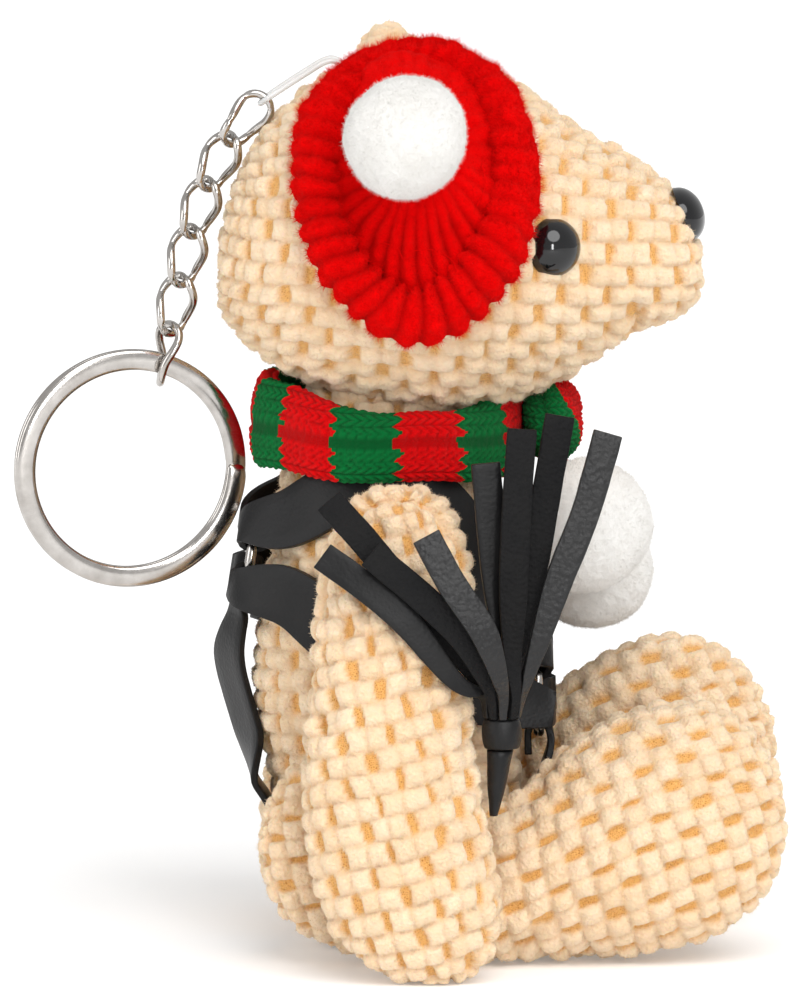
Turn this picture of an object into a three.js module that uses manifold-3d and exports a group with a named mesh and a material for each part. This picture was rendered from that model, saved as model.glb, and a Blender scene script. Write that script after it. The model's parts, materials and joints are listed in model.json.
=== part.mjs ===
// A plush bear keychain: a seated bear of chenille plush with string-jointed arms and legs, a knitted
// hat and scarf, a strap harness with two steel rings, a small strap whisk on its right arm, and a
// split key ring on a twisted chain.
// Millimetres. +Z is up, +X is the way the bear looks, +Y is its left. The origin is under the seat,
// on the plane that halves the bear.
import * as THREE from "three";
import { mergeVertices } from "three/addons/utils/BufferGeometryUtils.js";
import Module from "manifold-3d";

// ---------------------------------------------------------------- driving dimensions
const GAP = 0.3; // left between pieces that touch

const HAT_MIDDLE = [2, 0, 87.7]; // in the head, on the line that the hat is drawn down onto
const NECK_TOP = 72;

const EYE_SIZE = [7.6, 7.6, 3.3]; // width, height, bulge
const EYE_SEAT = [18.7, 15.7, 89.9]; // the left eye; the right one is its mirror image
const EYE_TURN = 50; // degrees from +X towards the side
const NOSE_SEAT = [35.0, 0, 91.9];
const NOSE_RISE = 22; // degrees above +X
const NOSE_SIZE = [9, 7.2, 2.7];
const SHANK_RADIUS = 0.9;
const WASHER_RADIUS = 3;

const HAT_LEAN = 32.5; // degrees from the right-hand side up to the crown's axis
const BRIM_HALF_LENGTH = 12.3;
const BRIM_HALF_WIDTH = 17.6;
const BRIM_RADIUS = 3.1;
const BRIM_REACH = 25.3; // from the hat's middle to the middle of the rolled brim
const HAT_POMPOM_CENTRE = [0.9, -30.6, 105.4];
const HAT_POMPOM_RADIUS = 7.6;

const HIP = [-6, 15.7, 14];
const LEFT_LEG_RAISE = 6.5; // degrees: the left foot rests higher than the right one

const SCARF_HEIGHT = 10.5;
const SCARF_THICKNESS = 2.8;
const POMPOM_RIGHT = { centre: [22.9, -7.9, 54], radius: 8.4 };
const POMPOM_LEFT = { centre: [24, 7.9, 46.4], radius: 7.9 };

const STRAP_WIDTH = 8;
const STRAP_THICKNESS = 0.9;
const STRAP_FOLD_WIDTH = 3.2; // where a strap is gathered round a ring
const HARNESS_RING_RADIUS = 5.35; // to the middle of its wire
const HARNESS_WIRE_RADIUS = 0.65;
const HARNESS_RING_LIFT = 2.25; // from the torso to the middle of the ring
const SEAT_STRAP_TOP = 1.2; // the strap between the legs lies under the torso
const BACK_RING_HEIGHT = 48.6;
const CHEST_RING_HEIGHT = 32;

const BINDING = [12.6, -29, 31];
const STRIP_WIDTH = 3.6;
const STRIP_THICKNESS = 0.9;

const LINK_WIRE = 1.1;
const LINK_WIDTH = 5.4;
const LINK_PITCH = 6.28;
const LINK_CLEARANCE = 0.25;
const CHAIN_START = [-17.2, 0, 106.3];
const LINK_HEADINGS = [40, 26, 18, 13, 12, 11]; // degrees from straight down, away from the bear

const RING_OUTER = 15;
const RING_INNER = 12.5;
const RING_WIRE_THICKNESS = 0.75;
const RING_TURN_PITCH = 0.95;
const RING_TURN_ANGLE = 16; // degrees the ring is turned about +Z
const RING_SWING = 18.5; // degrees the ring's middle lies out from under its link

// ---------------------------------------------------------------- finishes
const finish = (color, roughness, metalness = 0) =>
  new THREE.MeshStandardMaterial({ color, roughness, metalness });
const PLUSH = finish(0xf3d3a4, 0.95);
const RED_KNIT = finish(0xd4121a, 0.9);
const SCARF_KNIT = finish(0xb01220, 0.9);
const POMPOM = finish(0xf4f2ee, 0.95);
const BLACK_LEATHER = finish(0x17171a, 0.5);
const EYE_PLASTIC = finish(0x050506, 0.12);
const WASHER_PLASTIC = finish(0xe6e6e2, 0.5);
const CLEAR_LINE = finish(0xe9eef0, 0.2);
const STEEL = finish(0xb9bcc0, 0.25, 1);

// ---------------------------------------------------------------- geometry helpers
const wasm = await Module();
wasm.setup();

const vec = (x, y, z) => new THREE.Vector3(x, y, z);
const rad = THREE.MathUtils.degToRad;

function positionsOnly(geometry) {
  const bare = geometry.clone();
  for (const name of Object.keys(bare.attributes)) {
    if (name !== "position") bare.deleteAttribute(name);
  }
  return mergeVertices(bare, 1e-4);
}

function toSolid(geometry) {
  const merged = positionsOnly(geometry);
  const mesh = new wasm.Mesh({
    numProp: 3,
    vertProperties: new Float32Array(merged.attributes.position.array),
    triVerts: new Uint32Array(merged.index.array),
  });
  return new wasm.Manifold(mesh);
}

function toGeometry(solid) {
  const mesh = solid.getMesh();
  const geometry = new THREE.BufferGeometry();
  geometry.setAttribute("position", new THREE.BufferAttribute(mesh.vertProperties, 3));
  geometry.setIndex(new THREE.BufferAttribute(mesh.triVerts, 1));
  geometry.computeVertexNormals();
  return geometry;
}

function cut(geometry, ...cutters) {
  let solid = toSolid(geometry);
  for (const cutter of cutters) solid = solid.subtract(toSolid(cutter));
  return toGeometry(solid);
}

function join(...geometries) {
  const solids = geometries.map(toSolid);
  return toGeometry(solids.slice(1).reduce((sum, solid) => sum.add(solid), solids[0]));
}

// A copy of a convex piece that is larger by a margin on every side, to cut its neighbours with.
function grown(geometry, margin) {
  const copy = positionsOnly(geometry);
  copy.computeBoundingBox();
  const size = copy.boundingBox.getSize(vec());
  const middle = copy.boundingBox.getCenter(vec());
  copy.translate(-middle.x, -middle.y, -middle.z);
  copy.scale(1 + (2 * margin) / size.x, 1 + (2 * margin) / size.y, 1 + (2 * margin) / size.z);
  copy.translate(middle.x, middle.y, middle.z);
  return copy;
}

// A closed surface through rings of points, with its two ends capped, or with its last ring joined
// to its first.
function skin(rings, closed = false) {
  const count = rings[0].length;
  const points = rings.flat();
  const faces = [];
  const spans = closed ? rings.length : rings.length - 1;
  for (let i = 0; i < spans; i++) {
    const here = i * count;
    const next = ((i + 1) % rings.length) * count;
    for (let j = 0; j < count; j++) {
      const k = (j + 1) % count;
      faces.push(here + j, here + k, next + k, here + j, next + k, next + j);
    }
  }
  if (!closed) {
    const last = (rings.length - 1) * count;
    for (let j = 1; j < count - 1; j++) {
      faces.push(0, j + 1, j, last, last + j, last + j + 1);
    }
  }
  const geometry = new THREE.BufferGeometry().setFromPoints(points);
  geometry.setIndex(faces);
  if (signedVolume(points, faces) < 0) {
    faces.reverse();
    geometry.setIndex(faces);
  }
  geometry.computeVertexNormals();
  return geometry;
}

function signedVolume(points, faces) {
  let sum = 0;
  for (let i = 0; i < faces.length; i += 3) {
    const [a, b, c] = [points[faces[i]], points[faces[i + 1]], points[faces[i + 2]]];
    sum += a.dot(vec().crossVectors(b, c));
  }
  return sum / 6;
}

// A plush form lofted along an axis. Each station is [place on the axis, lowest, highest, half of the
// thickness in Y, middle in Y]; lowest and highest are in Z for a form along X, and in X for one along Z.
function plushLoft(axis, stations, steps = 17, sides = 14) {
  const track = (pick) => {
    const curve = new THREE.CatmullRomCurve3(stations.map(pick));
    curve.curveType = "catmullrom";
    return curve;
  };
  const extents = track(([, low, high, half]) => vec(low, high, half));
  const middles = track(([at, , , , side = 0]) => vec(at, side, 0));
  const rings = [];
  for (let i = 0; i <= steps; i++) {
    const { x: low, y: high, z: half } = extents.getPoint(i / steps);
    const { x: at, y: side } = middles.getPoint(i / steps);
    const ring = [];
    for (let j = 0; j < sides; j++) {
      const angle = (2 * Math.PI * j) / sides;
      const across = (low + high) / 2 + ((high - low) / 2) * Math.cos(angle);
      const y = side + half * Math.sin(angle);
      ring.push(axis === "x" ? vec(at, y, across) : vec(across, y, at));
    }
    rings.push(ring);
  }
  return skin(rings);
}

// An ellipsoid with its own axes, set at a centre.
function ellipsoid(centre, radii, basis = new THREE.Matrix4(), rows = 9, columns = 14) {
  const geometry = new THREE.SphereGeometry(1, columns, rows);
  geometry.scale(...radii);
  geometry.applyMatrix4(basis);
  geometry.translate(...centre);
  return geometry;
}

// A round wire along a closed run of points.
function closedWire(points, radius, sides = 8) {
  const count = points.length;
  const rings = [];
  let normal = null;
  for (let i = 0; i < count; i++) {
    const before = points[(i + count - 1) % count];
    const after = points[(i + 1) % count];
    const tangent = after.clone().sub(before).normalize();
    if (!normal) {
      normal = vec(0.3, 1, 0.2).cross(tangent).normalize();
    }
    normal.addScaledVector(tangent, -normal.dot(tangent)).normalize();
    const binormal = tangent.clone().cross(normal);
    const ring = [];
    for (let j = 0; j < sides; j++) {
      const angle = (2 * Math.PI * j) / sides;
      const point = points[i].clone();
      point.addScaledVector(normal, radius * Math.cos(angle));
      point.addScaledVector(binormal, radius * Math.sin(angle));
      ring.push(point);
    }
    rings.push(ring);
  }
  return skin(untwisted(rings, sides), true);
}

// Turns the rings of a closed wire little by little, so that the last one meets the first.
function untwisted(rings, sides) {
  const first = rings[0];
  const last = rings[rings.length - 1];
  let shift = 0;
  let nearest = Infinity;
  for (let s = 0; s < sides; s++) {
    const distance = last[s].distanceTo(first[0]);
    if (distance < nearest) {
      nearest = distance;
      shift = s;
    }
  }
  return rings.map((ring, i) => {
    const turn = Math.round((shift * i) / (rings.length - 1));
    return ring.map((point, j) => ring[(j + turn) % sides]);
  });
}

// A flat strap along control stations { at, out, width }: out is the way that the face looks.
function ribbon(stations, thickness, steps) {
  const places = new THREE.CatmullRomCurve3(stations.map((s) => s.at));
  places.curveType = "catmullrom";
  const rings = [];
  for (let i = 0; i <= steps; i++) {
    const t = i / steps;
    const place = t * (stations.length - 1);
    const index = Math.min(Math.floor(place), stations.length - 2);
    const share = place - index;
    const [a, b] = [stations[index], stations[index + 1]];
    const along = places.getTangent(t);
    const out = a.out.clone().lerp(b.out, share);
    out.addScaledVector(along, -out.dot(along)).normalize();
    const side = along.clone().cross(out);
    const half = THREE.MathUtils.lerp(a.width, b.width, share) / 2;
    const middle = places.getPoint(t);
    const corner = (u, v) =>
      middle.clone().addScaledVector(side, u * half).addScaledVector(out, (v * thickness) / 2);
    rings.push([corner(-1, -1), corner(1, -1), corner(1, 1), corner(-1, 1)]);
  }
  return skin(rings);
}

// Turns a shape made about +Z so that its axis points along a direction, and sets it at a place.
function aim(geometry, place, direction) {
  const turn = new THREE.Quaternion().setFromUnitVectors(vec(0, 0, 1), direction);
  geometry.applyQuaternion(turn);
  geometry.translate(...place);
  return geometry;
}

// A solid turned from a profile of [radius, height] points.
function turned(profile, sides = 14) {
  const points = profile.map(([radius, height]) => new THREE.Vector2(radius, height));
  const geometry = new THREE.LatheGeometry(points, sides);
  geometry.rotateX(Math.PI / 2);
  return geometry;
}

const mirrored = (geometry) => {
  const copy = positionsOnly(geometry);
  copy.scale(1, -1, 1);
  const order = Array.from(copy.index.array).reverse();
  copy.setIndex(order);
  return copy;
};

// ---------------------------------------------------------------- the bear's stuffed parts
const TORSO_STATIONS = [
  [SEAT_STRAP_TOP, -10.4, 11, 6],
  [4, -13.4, 14.4, 8],
  [10, -15.2, 15.3, 8.9],
  [20, -16.4, 15.3, 9.1],
  [28, -17.9, 15.1, 10.9],
  [35, -18.3, 14.9, 13.4],
  [42, -17.5, 14.4, 14.6],
  [50, -16.3, 13.4, 14.3],
  [57, -15.2, 12.1, 12.6],
  [62, -14, 11, 11],
  [67, -12.6, 9.6, 10],
  [NECK_TOP, -12, 9, 9.6],
];

const HEAD_STATIONS = [
  [-22.3, 82.5, 88.5, 3.5],
  [-20.6, 78.2, 96.2, 9.5],
  [-16, 73.8, 103.3, 15.6],
  [-10, 70.9, 108.4, 19.5],
  [-3, 68.9, 111.9, 21.8],
  [5, 67.5, 112.3, 22.3],
  [12, 68.4, 109.4, 20.6],
  [18, 70.6, 105.8, 17.4],
  [24, 74.1, 101.9, 13.9],
  [30, 77.6, 98.2, 10.6],
  [34.4, 79.4, 94.2, 7.6],
  [37, 81.6, 89, 3.8],
];

const LEG_STATIONS = [
  [-16.8, 11, 17, 2.6, 15.7],
  [-15.4, 7.6, 21.2, 4.4, 15.7],
  [-12, 4.2, 25.8, 5.6, 15.7],
  [-6, 0.8, 27.6, 6.1, 15.7],
  [2, 0, 24.8, 6.2, 15.7],
  [10.5, 0, 20.4, 6.2, 15.4],
  [17, 0, 23.4, 7.3, 14.3],
  [22, 0, 28.6, 8.5, 13.4],
  [29, 0.5, 31.6, 9.1, 12.9],
  [36, 2, 33, 8.9, 12.9],
  [41, 4.2, 31, 7.4, 13],
  [45, 8, 27, 5.1, 13.2],
  [47.2, 13.5, 21.5, 2.4, 13.4],
];

const ARM_STATIONS = [
  [0.2, 0.5, 7, 1.8, 29.3],
  [2.4, -4, 10.6, 4.2, 29.3],
  [7, -8.6, 12.8, 6, 29.3],
  [14, -11.2, 12.2, 6.5, 29.3],
  [22, -12, 10.8, 6.5, 29.1],
  [30, -11.9, 9.6, 6.6, 28.3],
  [38, -11.3, 9.4, 6.6, 26.6],
  [46, -10.3, 9, 6.6, 24.6],
  [53, -8.9, 8.2, 6.3, 22.8],
  [58, -6.4, 6, 4.8, 21.8],
  [60, -2.6, 2.6, 2.2, 21.4],
];

function torsoPoint(height, heading) {
  const above = TORSO_STATIONS.findIndex((station) => station[0] >= height);
  const low = TORSO_STATIONS[Math.max(above - 1, 0)];
  const high = TORSO_STATIONS[Math.max(above, 1)];
  const share = (height - low[0]) / (high[0] - low[0]);
  const [back, front, half] = [1, 2, 3].map((k) => THREE.MathUtils.lerp(low[k], high[k], share));
  const [cos, sin] = [Math.cos(rad(heading)), Math.sin(rad(heading))];
  return vec((front + back) / 2 + ((front - back) / 2) * cos, half * sin, height);
}

// A place on the torso, or lifted off it, and the way that its surface looks there. Heading 0 is the
// front and 90 the left.
function torsoSurface(height, heading, lift = 0) {
  const at = torsoPoint(height, heading);
  const round = torsoPoint(height, heading + 2).sub(torsoPoint(height, heading - 2));
  const up = torsoPoint(height + 3, heading).sub(torsoPoint(height - 3, heading));
  const out = round.cross(up).normalize();
  return { at: at.addScaledVector(out, lift), out };
}

const headShell = plushLoft("x", HEAD_STATIONS, 18, 18);
const headCutter = grown(headShell, GAP + 0.05);

// ---------------------------------------------------------------- face fittings
const mirrorY = ([x, y, z]) => [x, -y, z];
const eyeDirection = (side) =>
  vec(Math.cos(rad(EYE_TURN)), side * Math.sin(rad(EYE_TURN)), 0.05).normalize();
const noseDirection = vec(Math.cos(rad(NOSE_RISE)), 0, Math.sin(rad(NOSE_RISE)));

// A domed button whose shank goes back into the head. Its base is at height 0.
function button(width, height, bulge) {
  const profile = [[0, -6.5], [SHANK_RADIUS, -6.5], [SHANK_RADIUS, 0]];
  const steps = 5;
  for (let i = 0; i <= steps; i++) {
    const angle = (Math.PI / 2) * (i / steps);
    profile.push([Math.cos(angle), Math.sin(angle) * bulge]);
  }
  const shank = turned(profile.slice(0, 3).concat([[0, 0.8]]));
  const dome = turned([[0, 0]].concat(profile.slice(3, -1), [[0, bulge]]), 18);
  dome.scale(height / 2, width / 2, 1);
  return join(dome, shank);
}

function washer() {
  const bore = SHANK_RADIUS + GAP;
  return turned([[bore, -4.6], [WASHER_RADIUS, -4.6], [WASHER_RADIUS, -3.6], [bore, -3.6], [bore, -4.6]]);
}

// What a button and its washer need inside the head, with a flat seat under the dome.
function fittingPocket(seatRadius) {
  const bore = SHANK_RADIUS + GAP;
  const wide = WASHER_RADIUS + GAP;
  const well = [[0, -7], [bore, -7], [bore, -5], [wide, -5], [wide, -3.2], [bore, -3.2]];
  return turned([...well, [bore, 0], [seatRadius, 0], [seatRadius, 5], [0, 5]]);
}

const faceFittings = [
  { name: "eye_left", seat: EYE_SEAT, direction: eyeDirection(1), size: EYE_SIZE },
  { name: "eye_right", seat: mirrorY(EYE_SEAT), direction: eyeDirection(-1), size: EYE_SIZE },
  { name: "nose", seat: NOSE_SEAT, direction: noseDirection, size: NOSE_SIZE },
];

// ---------------------------------------------------------------- hat
const hatAxis = vec(0, -Math.cos(rad(HAT_LEAN)), Math.sin(rad(HAT_LEAN)));
const hatAcross = vec(0, Math.sin(rad(HAT_LEAN)), Math.cos(rad(HAT_LEAN)));
const hatBasis = new THREE.Matrix4().makeBasis(vec(1, 0, 0), hatAcross, hatAxis);

function alongHat(distance) {
  return vec(...HAT_MIDDLE).addScaledVector(hatAxis, distance).toArray();
}

const crownShell = ellipsoid(alongHat(8), [12.4, 16.8, 20.3], hatBasis, 10, 18);

function brimRoll(radius) {
  const points = [];
  const steps = 26;
  for (let i = 0; i < steps; i++) {
    const angle = (2 * Math.PI * i) / steps;
    const fore = BRIM_HALF_LENGTH * Math.cos(angle);
    const over = BRIM_HALF_WIDTH * Math.sin(angle);
    const rise = Math.sqrt(BRIM_REACH ** 2 - fore ** 2 - over ** 2);
    const point = vec(...HAT_MIDDLE);
    points.push(
      point
        .addScaledVector(vec(1, 0, 0), fore)
        .addScaledVector(hatAcross, over)
        .addScaledVector(hatAxis, rise),
    );
  }
  return closedWire(points, radius, 8);
}

const earLeft = ellipsoid([-1.4, 12, 108.3], [4.4, 6, 6]);
const earRightPlace = vec(0, -Math.cos(rad(55)), Math.sin(rad(55)));
const earRight = ellipsoid(
  vec(0.5, 0, 90).addScaledVector(earRightPlace, 22.2).toArray(),
  [4.4, 6, 2.9],
  new THREE.Matrix4().makeBasis(vec(1, 0, 0), vec(0, earRightPlace.z, -earRightPlace.y), earRightPlace),
);

// ---------------------------------------------------------------- scarf
const SCARF_MIDDLE = [-1.6, 0, 66];

function scarfBand() {
  const [inX, inY] = [14.4, 13];
  const rings = [];
  const steps = 28;
  for (let i = 0; i < steps; i++) {
    const angle = (2 * Math.PI * i) / steps;
    const ring = [];
    const sides = 8;
    for (let j = 0; j < sides; j++) {
      const turn = (2 * Math.PI * j) / sides;
      const swell = (SCARF_THICKNESS / 2) * (1 + Math.cos(turn));
      const height = (SCARF_HEIGHT / 2) * Math.sin(turn);
      const x = SCARF_MIDDLE[0] + (inX + swell) * Math.cos(angle);
      const y = (inY + swell) * Math.sin(angle);
      ring.push(vec(x, y, SCARF_MIDDLE[2] + height));
    }
    rings.push(ring);
  }
  return skin(rings, true);
}

const scarfShell = scarfBand();
const knotShell = ellipsoid([19.3, -0.6, 66.4], [3.4, 6, 4.6]);

// A knitted tail that hangs from the knot into its pompom.
function scarfTail({ centre, radius }, top) {
  const out = vec(1, 0, 0);
  const sink = centre[2] + radius * 0.45;
  return ribbon(
    [
      { at: vec(...top), out, width: 5 },
      { at: vec((top[0] + centre[0]) / 2, (top[1] + centre[1]) / 2, (top[2] + sink) / 2), out, width: 5.4 },
      { at: vec(centre[0], centre[1], sink), out, width: 4.6 },
    ],
    2,
    8,
  );
}

// ---------------------------------------------------------------- harness
function ringFrame(height, heading) {
  const { at, out } = torsoSurface(height, heading, HARNESS_RING_LIFT);
  const up = vec(0, 0, 1).addScaledVector(out, -out.z).normalize();
  return { centre: at, out, up };
}

const backRing = ringFrame(BACK_RING_HEIGHT, 180);
const chestRing = ringFrame(CHEST_RING_HEIGHT, 0);

// The control stations of a strap's end, gathered round the wire of a ring. Direction is the way
// that the strap leaves the ring, in degrees from straight up towards the bear's left.
function strapEnd(frame, direction) {
  const away = vec(0, Math.sin(rad(direction)), 0);
  away.addScaledVector(frame.up, Math.cos(rad(direction)));
  const wire = frame.centre.clone().addScaledVector(away, HARNESS_RING_RADIUS);
  const wrap = HARNESS_WIRE_RADIUS + GAP + STRAP_THICKNESS / 2;
  const stations = [];
  const spot = (along, up, width) => ({
    at: wire.clone().addScaledVector(away, along).addScaledVector(frame.out, up),
    width,
  });
  const tail = spot(2.6, -wrap, STRAP_FOLD_WIDTH);
  tail.out = frame.out.clone().negate();
  stations.push(tail);
  for (const angle of [-90, -135, -180, -225, -270]) {
    const station = spot(wrap * Math.cos(rad(angle)), wrap * Math.sin(rad(angle)), STRAP_FOLD_WIDTH);
    station.out = away.clone().multiplyScalar(Math.cos(rad(angle)));
    station.out.addScaledVector(frame.out, Math.sin(rad(angle)));
    stations.push(station);
  }
  const over = spot(2.2, wrap, STRAP_WIDTH * 0.62);
  over.out = frame.out.clone();
  stations.push(over);
  return stations;
}

// A strap from one ring to another over the torso. Route is a list of [height, heading, lift].
function strap(from, fromDirection, route, to, toDirection) {
  const over = route.map(([height, heading, lift = 0]) => ({
    ...torsoSurface(height, heading, GAP + STRAP_THICKNESS / 2 + lift),
    width: STRAP_WIDTH,
  }));
  const ending = strapEnd(to, toDirection).reverse();
  return ribbon([...strapEnd(from, fromDirection), ...over, ...ending], STRAP_THICKNESS, 42);
}

const shoulderRoute = (side) => [
  [54.5, 180 - side * 38, 0.9],
  [58.2, 180 - side * 62, 0.25],
  [59.5, side * 90, 0.25],
  [57, side * 64, 0.25],
  [50, side * 46, 0.2],
  [41.5, side * 34, 0.7],
];
const sideRoute = (side) => [
  [45.5, 180 - side * 44, 0.9],
  [41.5, 180 - side * 66, 0.2],
  [38, side * 90, 0.2],
  [34.8, side * 64, 0.2],
  [33, side * 42, 0.9],
];

// The strap from the back ring down the spine, flat under the seat and up to the chest ring.
function spineStrap() {
  const down = vec(0, 0, -1);
  const under = (x, z, out) => ({ at: vec(x, 0, z), out, width: STRAP_WIDTH });
  const seat = STRAP_THICKNESS / 2;
  const route = [
    under(-22.5, 37, vec(-1, 0, 0.1)),
    under(-21, 31, vec(-1, 0, -0.25)),
    under(-19.4, 25, vec(-1, 0, -0.25)),
    under(-18, 19.5, vec(-1, 0, -0.2)),
    under(-16.9, 12, vec(-1, 0, -0.2)),
    under(-15.4, 5, vec(-1, 0, -0.5)),
    under(-13, 1.1, vec(-0.5, 0, -1)),
    under(-10, seat, down),
    under(-6, seat, down),
    under(0, seat, down),
    under(6, seat, down),
    under(10.8, seat, down),
    under(14.6, 1.2, vec(0.5, 0, -1)),
    under(16.6, 5, vec(1, 0, -0.4)),
    under(17, 12, vec(1, 0, 0)),
    under(17, 19, vec(1, 0, 0)),
  ];
  const ending = strapEnd(chestRing, 180).reverse();
  return ribbon([...strapEnd(backRing, 180), ...route, ...ending], STRAP_THICKNESS, 58);
}

function harnessRing(frame) {
  const ring = new THREE.TorusGeometry(HARNESS_RING_RADIUS, HARNESS_WIRE_RADIUS, 6, 22);
  return aim(positionsOnly(ring), frame.centre.toArray(), frame.out);
}

// ---------------------------------------------------------------- whisk of leather strips
// Each strip: the angle of its root round the binding, and the points that it passes through.
const WHISK_STRIPS = [
  { root: 162, through: [[8.9, -30.6, 39], [1, -32, 48.8], [-4.1, -31.3, 55], [-8.8, -29.2, 60]] },
  { root: 206, through: [[6.9, -32.9, 37.8], [1, -33.8, 45.4], [-4.1, -33.5, 49.8], [-9.6, -32.1, 53.6]] },
  { root: 240, through: [[10, -33.6, 39.4], [7.4, -34.9, 44.3], [2.6, -35.2, 49], [-3.6, -34.6, 54.2]] },
  { root: 273, through: [[12.1, -34.9, 39.4], [10.2, -36.2, 45], [6.6, -36.5, 50.3], [3.2, -35.9, 56.6]] },
  { root: 105, through: [[12.9, -27.3, 41], [12, -27, 49], [11.3, -26.8, 56], [10.6, -26.6, 64.4]] },
  { root: 309, through: [[13.9, -30.4, 41], [14, -30, 49], [14.4, -29.6, 59], [15.1, -29.2, 69]] },
  { root: 45, through: [[15, -28.6, 43.5], [16.6, -28.4, 52], [18.3, -27.8, 62], [19.8, -27.2, 70.4]] },
  { root: 346, through: [[17, -31.2, 42], [19.7, -31.4, 50.6], [23, -30.8, 59], [25.7, -30, 68.6]] },
];

const whiskBinding = turned([[0, -1.8], [2.2, -1.8], [2.6, -0.9], [2.6, 0.9], [2.2, 1.8], [0, 1.8]], 14);
const whiskHandle = () => {
  const top = vec(BINDING[0] - 0.2, BINDING[1], BINDING[2] - 1.8 - GAP);
  const tip = vec(11.6, BINDING[1], 20.7);
  const rings = [];
  for (const [share, half, thick] of [[0, 2, 1.7], [0.35, 1.8, 1.4], [0.7, 1.4, 1], [1, 0.6, 0.5]]) {
    const middle = top.clone().lerp(tip, share);
    const ring = [];
    for (let j = 0; j < 12; j++) {
      const angle = (2 * Math.PI * j) / 12;
      ring.push(middle.clone().add(vec(thick * Math.cos(angle), half * Math.sin(angle), 0)));
    }
    rings.push(ring);
  }
  return skin(rings);
};

function whiskStrip({ root, through }) {
  const [cos, sin] = [Math.cos(rad(root)), Math.sin(rad(root))];
  const base = BINDING[2] + 1.8 + GAP;
  const at = vec(BINDING[0] + 1.9 * cos, BINDING[1] + 1.9 * sin, base);
  const leave = vec(BINDING[0] + 2.6 * cos, BINDING[1] + 3.2 * sin, base + 3);
  const rootOut = vec(cos, sin, 0);
  const faceOut = vec(0.15, -1, 0.1).normalize();
  const stations = [
    { at, out: rootOut, width: 0.9 },
    { at: leave, out: rootOut.clone().lerp(faceOut, 0.4), width: 1.3 },
  ];
  through.forEach((point, i) => {
    stations.push({ at: vec(...point), out: faceOut, width: i ? STRIP_WIDTH : STRIP_WIDTH * 0.62 });
  });
  return ribbon(stations, STRIP_THICKNESS, 14);
}

// ---------------------------------------------------------------- chain and key ring
const endGap = LINK_WIRE + LINK_CLEARANCE; // between the wires of two links that hook together
const linkCentreLength = LINK_PITCH + endGap;

// A curb link about its own middle, its long axis along Z. Its top half lies in one upright plane and
// its bottom half in another, at these angles from the XZ plane, so that links hook square into each
// other.
function curbLink(topAngle, bottomAngle) {
  const bend = (LINK_WIDTH - LINK_WIRE) / 2;
  const straight = linkCentreLength / 2 - bend;
  const flat = [];
  const arcSteps = 6;
  for (const end of [1, -1]) {
    for (let i = 0; i <= arcSteps; i++) {
      const angle = (Math.PI * i) / arcSteps;
      flat.push([end * bend * Math.cos(angle), end * (straight + bend * Math.sin(angle))]);
    }
    flat.push([-end * bend, end * straight * 0.33]);
    flat.push([-end * bend, -end * straight * 0.33]);
  }
  const points = flat.map(([across, height]) => {
    const share = (1 - THREE.MathUtils.clamp((height - 0.7) / (straight + 0.2), -1, 1)) / 2;
    const twist = rad(THREE.MathUtils.lerp(topAngle, bottomAngle, share));
    return vec(across * Math.cos(twist), across * Math.sin(twist), height);
  });
  return closedWire(points, LINK_WIRE / 2, 6);
}

const pivots = [vec(...CHAIN_START)];
for (const heading of LINK_HEADINGS) {
  const step = vec(-Math.sin(rad(heading)), 0, -Math.cos(rad(heading))).multiplyScalar(LINK_PITCH);
  pivots.push(pivots[pivots.length - 1].clone().add(step));
}

// The ring's flat wire needs more room in the last link than another link does.
const RING_SEAT = 1.9;
const lastHeading = rad(LINK_HEADINGS[LINK_HEADINGS.length - 1]);
const ringPivot = pivots[LINK_HEADINGS.length].clone();
ringPivot.addScaledVector(vec(Math.sin(lastHeading), 0, Math.cos(lastHeading)), RING_SEAT);

// The split ring in its own plane: two turns of flat wire about Z, the second one stepped over the
// first near the split.
function splitRing() {
  const rings = [];
  const steps = 64;
  const half = RING_WIRE_THICKNESS / 2;
  for (let i = 0; i <= steps; i++) {
    const angle = (4 * Math.PI * i) / steps;
    const rise = RING_TURN_PITCH * (THREE.MathUtils.smoothstep(angle, 1.62 * Math.PI, 2.38 * Math.PI) - 0.5);
    const corner = (radius, height) =>
      vec(radius * Math.cos(angle), radius * Math.sin(angle), rise + height);
    rings.push([
      corner(RING_INNER + 0.2, -half),
      corner(RING_OUTER - 0.2, -half),
      corner(RING_OUTER, 0),
      corner(RING_OUTER - 0.2, half),
      corner(RING_INNER + 0.2, half),
      corner(RING_INNER, 0),
    ]);
  }
  return skin(rings);
}

function hangingLoop() {
  const near = [
    [-6.4, 0.6, 107.4],
    [-7, 1, 110.6],
    [-8.6, 1.5, 111.6],
    [-11.6, 1.8, 110],
    [-14.4, 1.7, 108.2],
    [-16.6, 1.3, 106.7],
  ];
  const far = near.map(([x, y, z]) => [x, -y, z]).reverse();
  const tip = [[-17.5, 0, 105.9]];
  const inner = [[-6.2, 0, 106.9]];
  const points = [...near, ...tip, ...far, ...inner].map((p) => vec(...p));
  const curve = new THREE.CatmullRomCurve3(points, true);
  return closedWire(curve.getPoints(34).slice(0, -1), 0.4, 6);
}

// ---------------------------------------------------------------- the assembly
const bear = new THREE.Group();

function add(name, geometry, material) {
  const mesh = new THREE.Mesh(geometry, material);
  mesh.name = name;
  bear.add(mesh);
  return mesh;
}

const loopPocket = aim(
  turned([[0, -6.5], [2, -6.5], [2, 3], [0, 3]], 12),
  [-6.6, 0, 111.4],
  vec(0, 0, 1),
);
const pockets = faceFittings.map(({ seat, direction, size }) =>
  aim(fittingPocket(size[0] / 2 + GAP), seat, direction),
);
add("head", cut(headShell, ...pockets, loopPocket), PLUSH);
add("torso", cut(plushLoft("z", TORSO_STATIONS, 18, 18), headCutter), PLUSH);

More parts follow.
